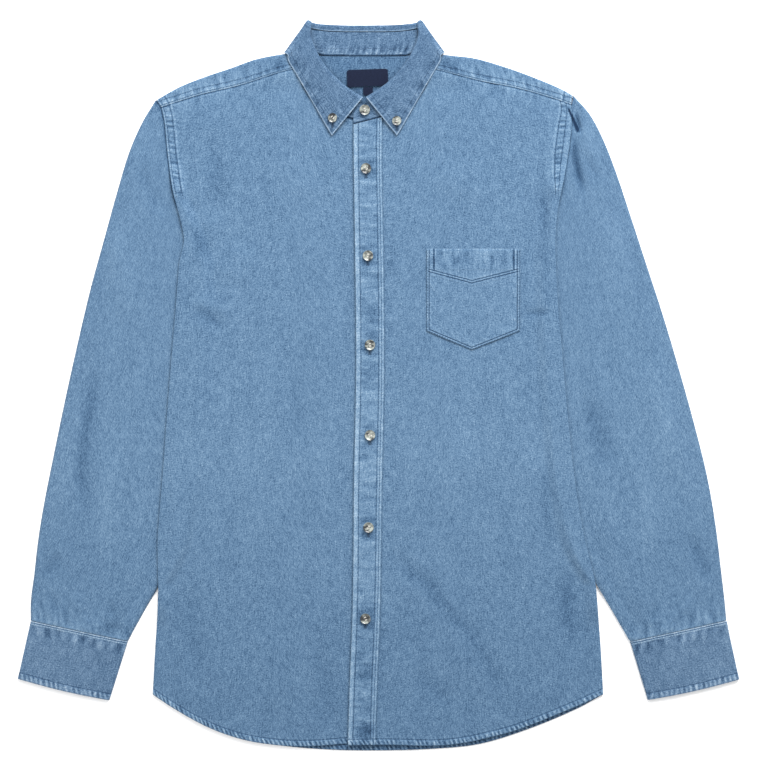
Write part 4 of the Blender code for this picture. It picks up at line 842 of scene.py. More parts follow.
# Yoke: over the shoulders in one piece, and down to its seams on the fronts
yoke = {
    "wall": 0.9, "step": 2.2, "turns": [-54, -18, 18, 54], "frontRows": 3, "seamColumns": 6, "middle": 8,
    "neckDip": (2.2, 2.6),   # its neckline below the neck points: at the sides, and more behind
    # painted shadow of the collar on the yoke's front layer beside it
    "collarShadowAt": (94.0, 16.0), "shade": 0.13,   # darker beside the collar: place and width, and how much
    "insideShade": 0.1,   # and inside the neck
    "lap": 0.1, "aside": 0.5,   # moved onto the fronts, and out from the stand
    "gapAt": 2.0, "frontFrom": 6.0,   # gap to the front read this far down; its puckers' ramp
    "upper": (3.5, 100.0),   # faces above this level and this far from the middle look up
    "seamPuckers": (12, 18, 0.4), "armholePuckers": (12, 12, 0.3), "seed": {"right": 61, "left": 71},
    "ripple": (0.2, 20), "fineTone": 0.08,
    "stitchInsets": (1.7, 6.8), "material": washedDenim("shoulder yoke", ["yokeLap", "armhole"]),
}


# One shoulder of the yoke: back layer, fold over the shoulder, front layer.
def yokeShoulder(side):
    fold, seam, last, neck = shoulderFold[side], yokeSeam[side], yokeLevels[-1], neckPoint[side].x
    near = seam[0].x + inward[side] * sideOffsets(side, rowLevels[0])
    seamX = np.concatenate((near, np.linspace(near[-1], seam[-1].x, yoke["seamColumns"])[1:]))
    share = (seamX - seamX[0]) / (seamX[-1] - seamX[0])
    foldX = fold[0].x + share * (neck - fold[0].x)
    foldY = levelOf(fold, foldX)
    slopeX, slopeY = np.gradient(foldX), np.gradient(foldY)
    length = np.hypot(slopeX, slopeY)
    outX, outY = -slopeY / length * np.sign(slopeX), np.abs(slopeX) / length
    base, gap = bodyLift(foldX, foldY), frontGap(foldX, foldY - yoke["gapAt"])
    radius = cloth + gap / 2
    startX, startY = foldX - outX * radius, foldY - outY * radius
    rows = []
    for atArmhole, atNeck in yokeLevels:
        part = (atArmhole - yokeBack) / (last.armhole - yokeBack)
        edge = float(sideX(side, atArmhole))
        x = edge + share * (neck - edge) + part ** 4 * (startX - foldX)
        y = atArmhole + share * (atNeck - atArmhole)
        y = y + part ** 2 * (startY - last.armhole - share * (last.neck - last.armhole))
        rows.append((x, y, bodyLift(x, y)))
    centre = base + cloth + gap / 2
    for turn in yoke["turns"]:
        reach, rise = cos(radians(turn)), sin(radians(turn))
        rows.append((startX + outX * radius * reach, startY + outY * radius * reach, centre + radius * rise))
    seamY = levelOf(seam, seamX)
    for part in np.linspace(0.0, 1.0, yoke["frontRows"] + 1):
        x, y = startX + part * (seamX - startX), startY + part * (seamY - startY)
        rows.append((x, y, (frontUnder(x, y) if part > 0 else base + cloth + gap) + cloth))
    return np.array(rows).swapaxes(1, 2)


# Back layer of the yoke between the neck points, up to the neckline.
def neckRows(x):
    middle = 1 - ((x - neckX) / (neckPoint["left"].x - neckX)) ** 4
    top = neckPoint["right"].y - yoke["neckDip"][0] - yoke["neckDip"][1] * smooth(middle)
    rows = []
    for level in yokeLevels:
        part = (level.armhole - yokeBack) / (yokeLevels[-1].armhole - yokeBack)
        y = level.neck + part ** 2 * (top - yokeLevels[-1].neck)
        rows.append((x, y, bodyLift(x, y)))
    return np.array(rows).swapaxes(1, 2)


def yokeSheet():
    backRows = len(yokeLevels)
    shoulders = {side: yokeShoulder(side) for side in inward}
    rowKnots = knotsOf(shoulders["right"], 0)
    rowAt = spreadOnKnots(rowKnots, yoke["step"])
    onFront = ramp(rowAt, rowKnots[backRows + len(yoke["turns"]) - 1], yoke["frontFrom"])[:, None]
    blocks = []
    for side, shoulder in shoulders.items():
        columnKnots, seed = knotsOf(shoulder, 1), yoke["seed"][side]
        grid = refine(shoulder, rowAt, spreadOnKnots(columnKnots, yoke["step"]), rowKnots, columnKnots)
        x, y, z = grid[..., 0], grid[..., 1], grid[..., 2]
        fromArm, fromNeck, fromBack, fromSeam = borders(grid)
        x += pressedTo(side, y, fromArm)
        y += (levelOf(yokeSeam[side], x[-1]) - yoke["lap"] - y[-1]) * smooth(1 - fromSeam / seamReach)
        onNeck = smooth(1 - fromNeck / neckSide["reach"])
        x -= inward[side] * yoke["aside"] * onFront * onNeck
        fine = puckers(fromArm, fromSeam, *yoke["seamPuckers"], seed)
        fine = fine + ripple(x, y, *yoke["ripple"], seed + 3)
        fine = onFront * (fine + puckers(fromSeam, fromArm, *yoke["armholePuckers"], seed + 6)) * (1 - onNeck)
        z[:] = np.maximum(z + fine - neckSide["lower"] * onFront * onNeck, lowest)
        # painted shadow of the collar on the front layer beside it
        collarShadow = bell(np.abs(x - neckX), *yoke["collarShadowAt"])
        blocks.append((grid, fine * yoke["fineTone"] - yoke["shade"] * onFront * collarShadow,
                       {"yokeLap": (x, np.minimum(fromBack, fromSeam), 1.0), "armhole": (y, fromArm, 1.0)}))
    middleX = np.linspace(neckPoint["right"].x, neckPoint["left"].x, yoke["middle"])[1:-1]
    middle = np.concatenate((shoulders["right"][:backRows, -1:], neckRows(middleX),
                             shoulders["left"][:backRows, -1:]), axis=1)
    columnKnots = knotsOf(middle, 1)
    grid = refine(middle, rowAt[rowAt <= rowKnots[backRows - 1] + sameSpot],
                  spreadOnKnots(columnKnots, yoke["step"]), rowKnots[:backRows], columnKnots)
    grid[..., 2] = np.maximum(grid[..., 2], lowest)
    seams = {"yokeLap": (grid[..., 0], borders(grid)[2], 1.0), "armhole": (0.0, 0.0, 0.0)}
    # painted shade on the back layer, inside the neck
    blocks.append((grid, -yoke["insideShade"], seams))
    piece = clothPiece("shirtYoke", "yoke", blocks, yoke,
                       upAt=lambda spot: spot.z > yoke["upper"][0] * mm
                       and abs(spot.x) > yoke["upper"][1] * mm)
    return [block[0] for block in blocks[:2]]


yokeShoulders = yokeSheet()


# One ring of a tube pressed flat. place(share) gives the spot across the tube,
# topHeight(x, y) the height of its upper face there.
def flatTubeRing(shares, height, place, topHeight):
    radius = height / 2
    inset = radius / np.hypot(*(place(1.0) - place(0.0)))
    spots = [place(inset)] + [place(share) for share in shares[1:-1]] + [place(1 - inset)]
    tops = [height] + [float(topHeight(*spot)) for spot in spots[1:-1]] + [height]

    def rounded(share, way, turns):
        return [(*place(share + way * inset * cos(radians(turn))), radius + radius * sin(radians(turn)))
                for turn in turns]

    return ([(*spot, top) for spot, top in zip(spots, tops)] + rounded(1 - inset, 1, (45, 0, -45))
            + [(*spot, 0.0) for spot in reversed(spots)] + rounded(inset, -1, (-45, 0, 45)))


# Sleeves: tubes pressed flat, tucked under the body
sleeve = {
    "wall": 0.9, "step": 3.0, "around": 2.6, "edgeStep": 1.0, "edgeWidth": 16.0,
    "height": 3.6, "loft": 1.8,   # pressed flat, and raised more along the middle
    "round": 26.0, "shade": 9.0,  # rounds over this far from a fold, and lies flat beside the body
    "upper": 4.2,                 # faces above this level look up
    "free": -232.0,               # clear of the body below this level
    "pull": [1.0, 0.55, 0.25, 0.08],   # how far the rings follow the armhole's curve
    "aside": {"right": -0.3, "left": 0.5},   # moved clear of the front at the shoulder
    "asideAt": (300.0, 7.0), "asideReach": 4.0,   # level and width of that, and how far in
    "shown": (2.0, 6.0),          # creases come in off the body, over this ramp
    "foldsIn": (8.0, 10.0),       # and off the armhole and the cuff
    "gathersIn": (0.5, 3.0), "ripple": (0.15, 36), "fineTone": 0.04,
    "cuffPuckers": (11, 26, 0.6), "headPuckers": (15, 14, 0.3), "seed": {"right": 81, "left": 91},
    "headShown": {"right": 1.0, "left": 0.4},
    "material": washedDenim("sleeves", ["sleeveHead", "gathers", "pleat"]),
}
# Outer and inner fold of each ring, as x and y, armhole to cuff
sleeveEdges = {
    "right": [(-245.0, 315.0, -199.1, 137.0), (-259.6, 291.0, -196.9, 111.7), (-273.9, 259.1, -196.9, 82.0),
              (-287.1, 216.2, -197.5, 51.0), (-301.4, 164.5, -198.6, 16.0), (-316.8, 108.4, -200.8, -22.6),
              (-331.1, 47.9, -203.5, -62.2), (-344.3, -11.6, -207.4, -102.9), (-356.4, -69.9, -212.9, -141.4),
              (-367.4, -124.9, -221.7, -177.7), (-374.6, -168.9, -240.9, -217.3),
              (-379.0, -207.4, -256.3, -243.7), (-382.5, -234.9, -267.3, -263.5),
              (-382.7, -257.0, -275.8, -279.6)],
    "left": [(213.4, 319.6, 185.9, 137.0), (231.0, 299.8, 185.9, 111.7), (246.4, 271.2, 186.7, 82.0),
             (260.7, 234.9, 187.6, 51.0), (277.2, 185.4, 189.5, 16.0), (293.7, 134.8, 192.0, -22.6),
             (311.3, 80.9, 195.8, -62.2), (330.0, 18.2, 200.2, -102.9), (346.5, -41.3, 206.8, -141.4),
             (360.8, -99.6, 216.7, -177.7), (370.7, -157.9, 239.0, -218.4), (376.2, -204.1, 254.1, -243.7),
             (379.8, -234.9, 266.2, -264.6), (381.8, -256.7, 275.7, -280.1)]}
sleeveCreases = {
    "right": [(-308, 54, -330, -180, 20, -1.2), (-350, -182, -370, -214, 14, -1.0),
              (-300, 196, -268, 60, 24, 0.8), (-342, 0, -352, -150, 22, 0.5),
              (-262, 250, -240, 190, 16, -0.7), (-286, -60, -306, -190, 22, 0.9),
              (-340, -228, -330, -252, 10, 0.6),
              (-300, -236, -296, -258, 9, -0.7), (-360, -222, -356, -252, 9, -0.6)],
    "left": [(216, 302, 224, 276, 4, -2.2), (210, 284, 232, 208, 9, -1.9), (224, 296, 238, 240, 12, 1.0),
             (224, 264, 250, 226, 9, -0.7), (228, 0, 258, -98, 28, -1.0), (250, 214, 262, 60, 24, 0.7),
             (336, -156, 366, -216, 15, -1.1), (300, 40, 320, -120, 28, 0.8), (286, -60, 300, -190, 22, 0.7),
             (340, -228, 332, -252, 10, 0.6), (300, -236, 296, -258, 9, -0.7)]}
underCreases = {
    "right": [(-282, 150, -262, 20, 30, -0.5), (-250, -20, -276, -150, 26, -0.5),
              (-310, -150, -330, -236, 22, -0.5)],
    "left": [(238, 190, 246, 60, 28, -0.5), (290, 30, 270, -110, 28, -0.5), (304, -140, 330, -236, 22, -0.5)]}


def sleeveRings(side):
    rings = np.array(sleeveEdges[side]).reshape(-1, 2, 2)
    chordStart, chordEnd = rings[0]
    sign = -inward[side]
    # the armhole seam from the shoulder down, then on under the body to the underarm
    seam = [(chordStart[0] + sign * seamGap, chordStart[1])]
    for level in [level for level in rowLevels if level > seamHidden[0]] + seamHidden:
        edge = sideX(side, level) if level > seamHidden[0] else tuckX(side, level)
        seam.append((float(edge) + sign * seamGap, level))
    seam = np.array(seam + [tuple(chordEnd)])
    steps = np.hypot(*np.diff(seam, axis=0).T)
    measure = np.concatenate(([0.0], np.cumsum(steps))) / steps.sum()
    made = []
    for (start, end), pull in zip(rings, sleeve["pull"] + [0.0] * len(rings)):

        def place(share):
            onSeam = np.array([np.interp(share, measure, seam[:, axis]) for axis in (0, 1)])
            offChord = onSeam - (chordStart + share * (chordEnd - chordStart))
            return start + share * (end - start) + pull * offChord

        def topHeight(x, y):
            shown = sign * (x - float(sideX(side, y))) if y > sleeve["free"] else np.inf
            free = min(shown, np.hypot(x - end[0], y - end[1])) - sleeve["shade"]
            inside = smooth(np.hypot(x - start[0], y - start[1]) / sleeve["round"])
            inside = inside * smooth(free / sleeve["round"])
            return sleeve["height"] + (sleeve["loft"] + float(foldRelief(sleeveFolds, x, y))) * float(inside)

        made.append(flatTubeRing(measure, sleeve["height"], place, topHeight))
    return np.array(made)


def sleeveSheet(side):
    grid = refinedTube(sleeveRings(side), sleeve)
    x, y = grid[..., 0], grid[..., 1]
    _, _, fromArmhole, fromCuff = borders(grid)
    seed = sleeve["seed"][side]
    atShoulder = bell(y, *sleeve["asideAt"]) * smooth(1 - fromArmhole / sleeve["asideReach"])
    x += sleeve["aside"][side] * atShoulder
    outward, upper = outwardOf(grid)
    offBody = ramp(-inward[side] * (x - sideX(side, y)), *sleeve["shown"])
    shown = np.where(y < sleeve["free"], 1.0, offBody)
    clear = smooth(fromArmhole / sleeve["foldsIn"][0]) * smooth(fromCuff / sleeve["foldsIn"][1])
    folds = creases(sleeveCreases[side], x, y) * clear
    broad = folds + ripple(x, y, *sleeve["ripple"], seed) * clear
    fine = puckers(x, fromCuff, *sleeve["cuffPuckers"], seed + 2) * ramp(fromCuff, *sleeve["gathersIn"])
    fine += puckers(x - y, fromArmhole, *sleeve["headPuckers"], seed + 4)
    under = creases(underCreases[side], x, y) * clear * smooth(-outward[..., 2] * lookingUp)
    level, fromPleat, pleated = pleatAt(x, y)
    seams = {"sleeveHead": (x - y, fromArmhole, upper * sleeve["headShown"][side]),
             "gathers": (x, fromCuff, upper), "pleat": (level, fromPleat, pleated * upper)}
    grid = grid + outward * ((broad + fine) * upper * shown + under)[..., None]
    grid[..., 2] = np.maximum(grid[..., 2], lowest)
    # painted light and shade of the creases, on the upper face and on the underside, plus the tone of the
    # puckers
    tone = (paintedFoldShading(folds) + fine * sleeve["fineTone"]) * upper + paintedFoldShading(under)
    return clothPiece("shirtSleeve" + side.capitalize(), "sleeve_" + side, [(grid, tone, seams)],
                      sleeve, upAt=lambda spot: spot.z > sleeve["upper"] * mm)


sleeveSheet("right")
sleeveSheet("left")

# Cuffs
cuff = {
    "wall": 1.2, "step": 1.4, "around": 2.0, "edgeStep": 0.9, "edgeWidth": 9.0,
    "topStitch": 2.9, "hemAt": 7.5, "turnedHem": 0.3, "ripple": (0.2, 16), "fineTone": 0.07,
    "height": 4.4, "upper": 5.0,
    "loft": 1.2, "round": 40.0,    # the loft builds up over this distance from a fold
    "loftFade": 0.5, "sag": 1.6,   # at the edge: share of the loft lost, and how far it bows out
    # inner, across and shade: painted shade, the cuff darker towards the body
    "steps": 5, "columns": 11, "inner": 275.0, "across": 120.0, "shade": 0.07,   # darker towards the body
    "topPuckers": (8, 11, 0.5), "puckersFrom": 2.0, "seed": {"right": 101, "left": 111},
    "right": [(-382.8, -257.5, -275.9, -280.1), (-397.0, -320.9, -296.2, -344.6)],   # outer and inner
    "left": [(381.9, -257.2, 275.8, -280.6), (396.0, -321.6, 295.2, -344.3)],        # fold, top and edge
    "material": washedDenim("cuffs, two layers", ["cuffTop", "cuffHem"], -0.02, denimLook["trimCast"]),
}


def cuffRings(side):
    first, last = np.array(cuff[side]).reshape(2, 2, 2)
    made = []
    for part in np.arange(cuff["steps"] + 1) / cuff["steps"]:
        start, end = first + part * (last - first)

        def place(share):
            return start + share * (end - start) + np.array([0.0, -cuff["sag"] * part * sin(pi * share)])

        def topHeight(x, y):
            near = min(np.hypot(x - start[0], y - start[1]), np.hypot(x - end[0], y - end[1]))
            loft = cuff["loft"] * (1 - cuff["loftFade"] * part)
            return cuff["height"] + loft * float(smooth(near / cuff["round"]))

        made.append(flatTubeRing(np.linspace(0.0, 1.0, cuff["columns"]), cuff["height"], place, topHeight))
    return np.array(made)


def cuffSheet(side):
    grid = refinedTube(cuffRings(side), cuff)
    x, y = grid[..., 0], grid[..., 1]
    _, _, fromTop, fromEdge = borders(grid)
    seed = cuff["seed"][side]
    outward, upper = outwardOf(grid)
    fine = puckers(x, np.maximum(fromTop - cuff["puckersFrom"], 0), *cuff["topPuckers"], seed)
    fine += ripple(x, y, *cuff["ripple"], seed + 4)
    fine += turnedIn(fromEdge, cuff["hemAt"], cuff["turnedHem"])
    seams = {"cuffTop": (x, fromTop, upper), "cuffHem": (x, fromEdge, upper)}
    grid = grid + outward * (fine * upper)[..., None]
    grid[..., 2] = np.maximum(grid[..., 2], lowest)
    # painted shade, darker towards the body
    fromBody = np.clip((np.abs(x) - cuff["inner"]) / cuff["across"], 0, 1)
    tone = fine * cuff["fineTone"] * upper - cuff["shade"] * (1 - fromBody) ** 2
    piece = clothPiece("shirtCuff" + side.capitalize(), "cuff_" + side, [(grid, tone, seams)],
                       cuff, upAt=lambda spot: spot.z > cuff["upper"] * mm)
    return grid


cuffGrids = [cuffSheet(side) for side in inward]

# Button placket, with the places of its buttons
placket = {
    "wall": 1.0, "step": 2.0, "edgeStep": 0.95, "edgeWidth": 9.0,
    "sewnStitches": (2.7, 5.9), "freeStitch": 5.4, "puckers": (14, 14, 0.3), "puckersFrom": (1.0, 4.0),
    "seed": {"free": 121, "sewn": 131}, "fineTone": 0.08,
    "buttons": [(-14.3, 239.3), (-12.1, 143.6), (-9.9, 45.7), (-9.9, -53.4), (-11.6, -154.6),
                (-14.9, -254.7)],
    # painted shadow round each button: how dark, radius and width of the ring, its rise, and how flat it is
    "ring": (0.1, 7.0, 3.5, 1.0, 0.8),
    "patches": [(-9.9, 78.7, 0.12), (-9.9, 18.2, 0.12), (-13.2, -314.1, 0.14),
                (-14.3, -378.5, 0.3)],   # soft dark ones: x, y and depth of tone
    "patchSize": 9.0, "patchFlat": 0.9,
    "material": washedDenim("button placket", ["freeEdge", "sewnEdge", "hem"], -0.05),
}


def placketSheet():
    strip = frontGrid("left")[:, -stripColumns:]
    strip[0, :, 1] -= seamGap
    grid = refined(strip, placket)
    x, y = grid[..., 0], grid[..., 1]
    fromSewn, fromFree, fromTop, fromHem = borders(grid)
    seed = placket["seed"]
    fine = puckers(y, fromFree, *placket["puckers"], seed["free"])
    fine = fine + puckers(y, fromSewn, *placket["puckers"], seed["sewn"])
    fine *= ramp(fromTop, *placket["puckersFrom"])
    grid[..., 2] = frontUnder(x, y) + 2 * cloth + seamGap + np.maximum(fine, deepest)
    tone = fine * placket["fineTone"]
    # painted shadow round each button
    dark, radius, width, rise, flat = placket["ring"]
    for atX, atY in placket["buttons"]:
        tone -= dark * bell(np.hypot(x - atX, (y - atY - rise) * flat), radius, width)
    for atX, atY, deep in placket["patches"]:
        away = np.hypot(x - atX, (y - atY) * placket["patchFlat"])
        tone -= deep * bell(away, 0.0, placket["patchSize"])
    seams = {"freeEdge": (y, fromFree, 1.0), "sewnEdge": (y, fromSewn, 1.0), "hem": (x, fromHem, 1.0)}
    piece = clothPiece("shirtPlacket", "placket", [(grid, tone, seams)], placket)
    return grid


placketGrid = placketSheet()

# Chest pocket, laid on the left front, with a pointed bottom
pocket = {
    "wall": 0.85, "columns": 84, "rows": 92, "air": 0.3, "loft": 0.5,
    "left": 52.2, "right": 154.5, "top": 151.3, "sideBottom": 61.0, "point": (101.9, 40.2),
    "vSide": 24.5, "vPoint": 37.7,   # the facing's sewn lines below the mouth
    "barLeft": 8.0, "barRight": 6.6, "barLong": 24.0,
    "edgePuckers": (10, 9, 0.25), "mouthPuckers": (9, 20, 0.35), "seed": (151, 161), "fineTone": 0.08,
    "slope": 0.97,   # distance from a pointed edge for each 1 above it
    "open": 0.1,     # share of the puff that stays at the mouth's edge
    # where the seams' looks begin, and their ramps
    "outlineFrom": (0.5, 1.5), "facingRise": 4.0, "facingFrom": (-3.9, 0.5), "facingIn": (1.2, 1.0),
    "barEnd": 1.5,
    "stitchInsets": (0.9, 2.9), "vStitches": (0.0, 2.6),
    # sewn lines: below the mouth, rise at the corners and the point for each 1 inside
    "stitchTop": 0.6, "barTop": 0.8, "cornerRise": 0.8, "pointRise": 1.05,
    "vInset": 3.5, "vLower": 1.0, "spots": 14,   # ends of the facing's lines; points to a stretch
    "material": washedDenim("patch pocket", ["patch", "mouth", "facing", "bar"], -0.02),
}


def pocketSheet():
    ground = treeOf(leftFront)
    share, part = np.meshgrid(np.linspace(0, 1, pocket["columns"]), np.linspace(0, 1, pocket["rows"]))
    left, right, top, point = (pocket[key] for key in ("left", "right", "top", "point"))
    x = left + share * (right - left)
    reach = np.where(x < point[0], (x - left) / (point[0] - left), (right - x) / (right - point[0]))
    bottom = pocket["sideBottom"] + reach * (point[1] - pocket["sideBottom"])
    y = top + part * (bottom - top)
    high = np.array([[heightOn(ground, a, b)[0] for a, b in zip(*line)] for line in zip(x, y)])
    fromLeft, fromRight, fromTop = x - left, right - x, top - y
    edge = np.minimum(np.minimum(fromLeft, fromRight), (y - bottom) * pocket["slope"])
    aboveV = y - (top - pocket["vSide"] - (pocket["vPoint"] - pocket["vSide"]) * reach)
    fromBar = np.where(share < 0.5, fromLeft - pocket["barLeft"], fromRight - pocket["barRight"])
    fine = puckers(x + y, edge, *pocket["edgePuckers"], pocket["seed"][0])
    fine = fine + puckers(x, fromTop, *pocket["mouthPuckers"], pocket["seed"][1])
    down = np.minimum(1.0, part * (1 - pocket["open"]) + pocket["open"])
    puff = pocket["loft"] * np.sin(pi * share) * np.sin(pi * down)
    high = high + pocket["air"] + pocket["wall"] + puff + np.maximum(fine, deepest)
    grid = np.stack((x, y, high), axis=-1)
    onFacing = ramp(aboveV, *pocket["facingFrom"]) * ramp(edge, *pocket["facingIn"])
    seams = {"patch": (x + y, edge, ramp(fromTop, *pocket["outlineFrom"])), "mouth": (x, fromTop, 1.0),
             "facing": (x, aboveV + pocket["facingRise"], onFacing),
             "bar": (y, fromBar, smooth((pocket["barLong"] - fromTop) / pocket["barEnd"]))}
    piece = clothPiece("shirtPocket", "pocket", [(grid, fine * pocket["fineTone"], seams)], pocket)
    return grid


pocketGrid = pocketSheet()

# Collar: cloth is its wall in the solid, level and swing the middle and radius of its turn
# to the front at each side
collar = {
    "wall": 1.5, "step": 2.0, "acrossStep": 1.5, "edgeStep": 0.9, "edgeWidth": 9.0, "stitchAt": 6.2,
    "cloth": 1.8, "level": 4.5, "swing": 3.6,
    "roll": 1.2, "rollTurns": (36, 72, 108, 144),   # the fold's radius at mid wall
    "lip": 5.0,            # width that shows inside, above the stand
    "crown": 0.9,          # a leaf bows up this much at its middle
    "air": 0.5,            # under a leaf, at its edge
    "upper": (8.0, 340.0),   # faces above this height, in front of this level, look up
    "spread": [0.0, 0.2, 0.45, 0.72, 1.0], "puckers": (10, 12, 0.3), "seed": (171, 181),
    "ripple": (0.2, 16), "fineTone": 0.08,
    "puckersFrom": (2.0, 6.0), "leafFrom": (9.0, 3.0),   # off the lip's edge, over ramps
    "runOn": 200.0,   # the long edge's own puckers, apart from those of the tips
    "buttons": [(-50.8, 294.8), (19.3, 291.5)],
    "material": washedDenim("collar, two layers", ["collarEdge", "lipEdge"], 0.09, denimLook["trimCast"]),
}
sideTurns = [-90, -54, -18, 18, 54, 90]
# Stations from the middle of the back round to the tip of a leaf, from neckX: the visible
# fold, the outer edge, how high the fold stands in front, how much lower on the right
collarStations = table(
    "foldX foldY edgeX edgeY height drop", (0, 397.1, 0, 351.5, 0, 0), (-25, 397.2, -26, 351.8, 0, 0),
    (-44, 398.2, -54, 354.5, 0, 0), *[(-62.1, 403.2, -88.5, 366.9, 0, 0)] * len(sideTurns),
    (-58.5, 386.0, -83.5, 357.5, 8.5, 0), (-53.3, 370.2, -72.5, 338.8, 9.5, 0),
    (-42.3, 351.5, -60.4, 317.9, 10.0, 0), (-28.0, 336.0, -48.9, 298.1, 9.8, 0),
    (-13.7, 325.0, -40.1, 282.7, 9.2, 0.9), (-1.3, 317.5, -35.7, 275.6, 8.6, 1.7))
stationTurns = [-90] * 3 + sideTurns + [90] * 6
turning = range(3, 3 + len(sideTurns))   # the stations that turn at the side
forward = range(6, 10)                   # those where it comes round to the front


# Where the fold and the edge lie at each station, the way from one to the other, which
# way the outer face looks, and how far out it is at each.
def collarFrames(side):
    mirror, level, half = inward[side], collar["level"], collar["cloth"] / 2
    frames = []
    for index, (station, turn) in enumerate(zip(collarStations, stationTurns)):
        fold = np.array([neckX + mirror * station.foldX, station.foldY, level])
        edge = np.array([neckX + mirror * station.edgeX, station.edgeY, level])
        down = (edge - fold) / np.linalg.norm(edge - fold)
        levelOut = np.array([-down[1], down[0], 0.0]) * -mirror
        if index in turning:
            shift = levelOut * (collar["swing"] + half)
            fold, edge = fold - shift, edge - shift
        fold = fold + down * (collar["roll"] + half)
        out = levelOut * cos(radians(turn)) + np.array([0.0, 0.0, sin(radians(turn))])
        atFold = atEdge = collar["swing"]
        if station.height:
            atFold = station.height - level - (station.drop if side == "right" else 0.0)
            atEdge = float(frontUnder(edge[0], edge[1])) + cloth + collar["air"] + half - level
        frames.append((fold, edge, down, out, atFold, atEdge))
    return frames


# Cross-section of the collar's outer face: from edge to fold, roll, and inner lip.
def leafSection(fold, edge, down, out, atFold, atEdge):
    half, roll = collar["cloth"] / 2, collar["roll"]
    points = []
    for share in reversed(collar["spread"]):
        crown = collar["crown"] * sin(pi * share) if atFold != atEdge else 0.0
        offset = atFold + share * (atEdge - atFold) + crown
        points.append(fold + share * (edge - fold) + out * offset + out * half)
    for turn in collar["rollTurns"]:
        way = out * cos(radians(turn)) - down * sin(radians(turn))
        points.append(fold + out * (atFold - roll) + way * (roll + half))
    for share in (0.0, 1.0):
        points.append(fold + down * collar["lip"] * share + out * (atFold - 2 * roll) - out * half)
    return points


def collarSheet():
    frames = collarFrames("right")[::-1] + collarFrames("left")[1:]
    grid = refined(np.array([leafSection(*station) for station in frames]), collar)
    fromEdge, fromLip, fromRightTip, fromLeftTip = borders(grid)
    tips = np.minimum(fromRightTip, fromLeftTip)
    edge = np.minimum(fromEdge, tips)
    run = np.where(fromEdge < tips, tips, fromEdge + collar["runOn"])
    fine = puckers(run, edge, *collar["puckers"], collar["seed"][0])
    fine = fine + ripple(grid[..., 0], grid[..., 1], *collar["ripple"], collar["seed"][1])
    fine *= ramp(fromLip, *collar["puckersFrom"])
    grid = grid + outwardOf(grid, slice(12), slice(6, 12))[0] * fine[..., None]
    grid[..., 2] = np.maximum(grid[..., 2], lowest)
    onLeaf = ramp(fromLip, *collar["leafFrom"])
    seams = {"collarEdge": (run, edge, onLeaf), "lipEdge": (tips, fromLip, 1 - onLeaf)}
    piece = clothPiece("shirtCollar", "collar", [(grid, fine * collar["fineTone"], seams)], collar,
                       upAt=lambda spot: spot.z > collar["upper"][0] * mm
                       and spot.y < collar["upper"][1] * mm)
    return grid


# Stand: a band from end to end round the neck; its ends cross in front
stand = {
    "wall": 1.15, "step": 1.8, "acrossStep": 1.3, "edgeStep": 0.8, "edgeWidth": 5.0,
    "shares": (0.0, 0.33, 0.67, 1.0),
    "onYoke": 0.9, "readAt": 4.0,   # middle of its wall above the yoke's underside, read this far down
    "lipGap": 0.9, "lipGapTurning": 1.2,   # clear of the collar's lip, and where that turns forward
    "inset": 0.4,          # inside the neckline, past the seam
    "spare": 0.9,          # and this much more beside the neck, where puckers stand proud
    "spareEnds": (4, 2),   # points before the front end where that ends, and its ramp
    "back": [(0, 363.4), (-25, 363.6), (-47, 364.6)],   # lower edge behind the neck
    "side": (1.6, 3.4), "outward": (-0.95, 0.31),       # turn at the shoulder, out from the neck point
    "swing": 1.0, "level": 3.9,                         # its radius and height
    # drawn in where it meets the yoke, and out where it meets the collar's lip: how far, level
    # and width, reach from its edge, and where it begins
    "byYoke": (1.0, (347.0, 11.0), 6.0, (55.0, 6.0)), "byLip": (1.8, (384.0, 7.0), 8.0, (4.0, 1.5)),
    "right": [(-10.0, 307.5, 3.5, 2.2), (-3.4, 300.0, 2.9, 2.2)],   # ends: x, y, upper and lower height
    "left": [(-23.0, 306.0, 5.6, 4.7), (-28.0, 299.6, 5.3, 4.4)],
    "material": washedDenim("collar stand, two layers", ["neckSeam"], 0.08, denimLook["trimCast"]),
}


# Lower edge of the stand at each collar station: the neckline, moved inside it.
def standBottoms(side):
    mirror, point = inward[side], neckPoint[side]
    points = [(neckX + mirror * x, y, stand["onYoke"]
               + float(bodyLift(neckX + mirror * x, y - stand["readAt"]))) for x, y in stand["back"]]
    base = np.array([point.x + mirror * stand["side"][0], point.y + stand["side"][1]])
    outward = np.array([stand["outward"][0] * mirror, stand["outward"][1]])
    for turn in sideTurns:
        spot = base + outward * stand["swing"] * cos(radians(turn))
        points.append((*spot, stand["level"] + stand["swing"] * sin(radians(turn))))
    corner = neckline[side][0]
    line = np.array([((point.x + corner.x) / 2, (point.y + corner.y) / 2)] + neckline[side])
    ways = np.gradient(line, axis=0)
    ways /= np.hypot(ways[:, 0], ways[:, 1])[:, None]
    normals = np.stack((-ways[:, 1], ways[:, 0]), axis=-1) * mirror
    before, over = stand["spareEnds"]
    spare = stand["spare"] * smooth((len(line) - before - np.arange(len(line))) / over)
    moved = line + normals * (seamGap + stand["inset"] + spare)[:, None]
    return points + [(*spot, float(frontUnder(*place, side)) + cloth / 2) for place, spot in zip(line, moved)]


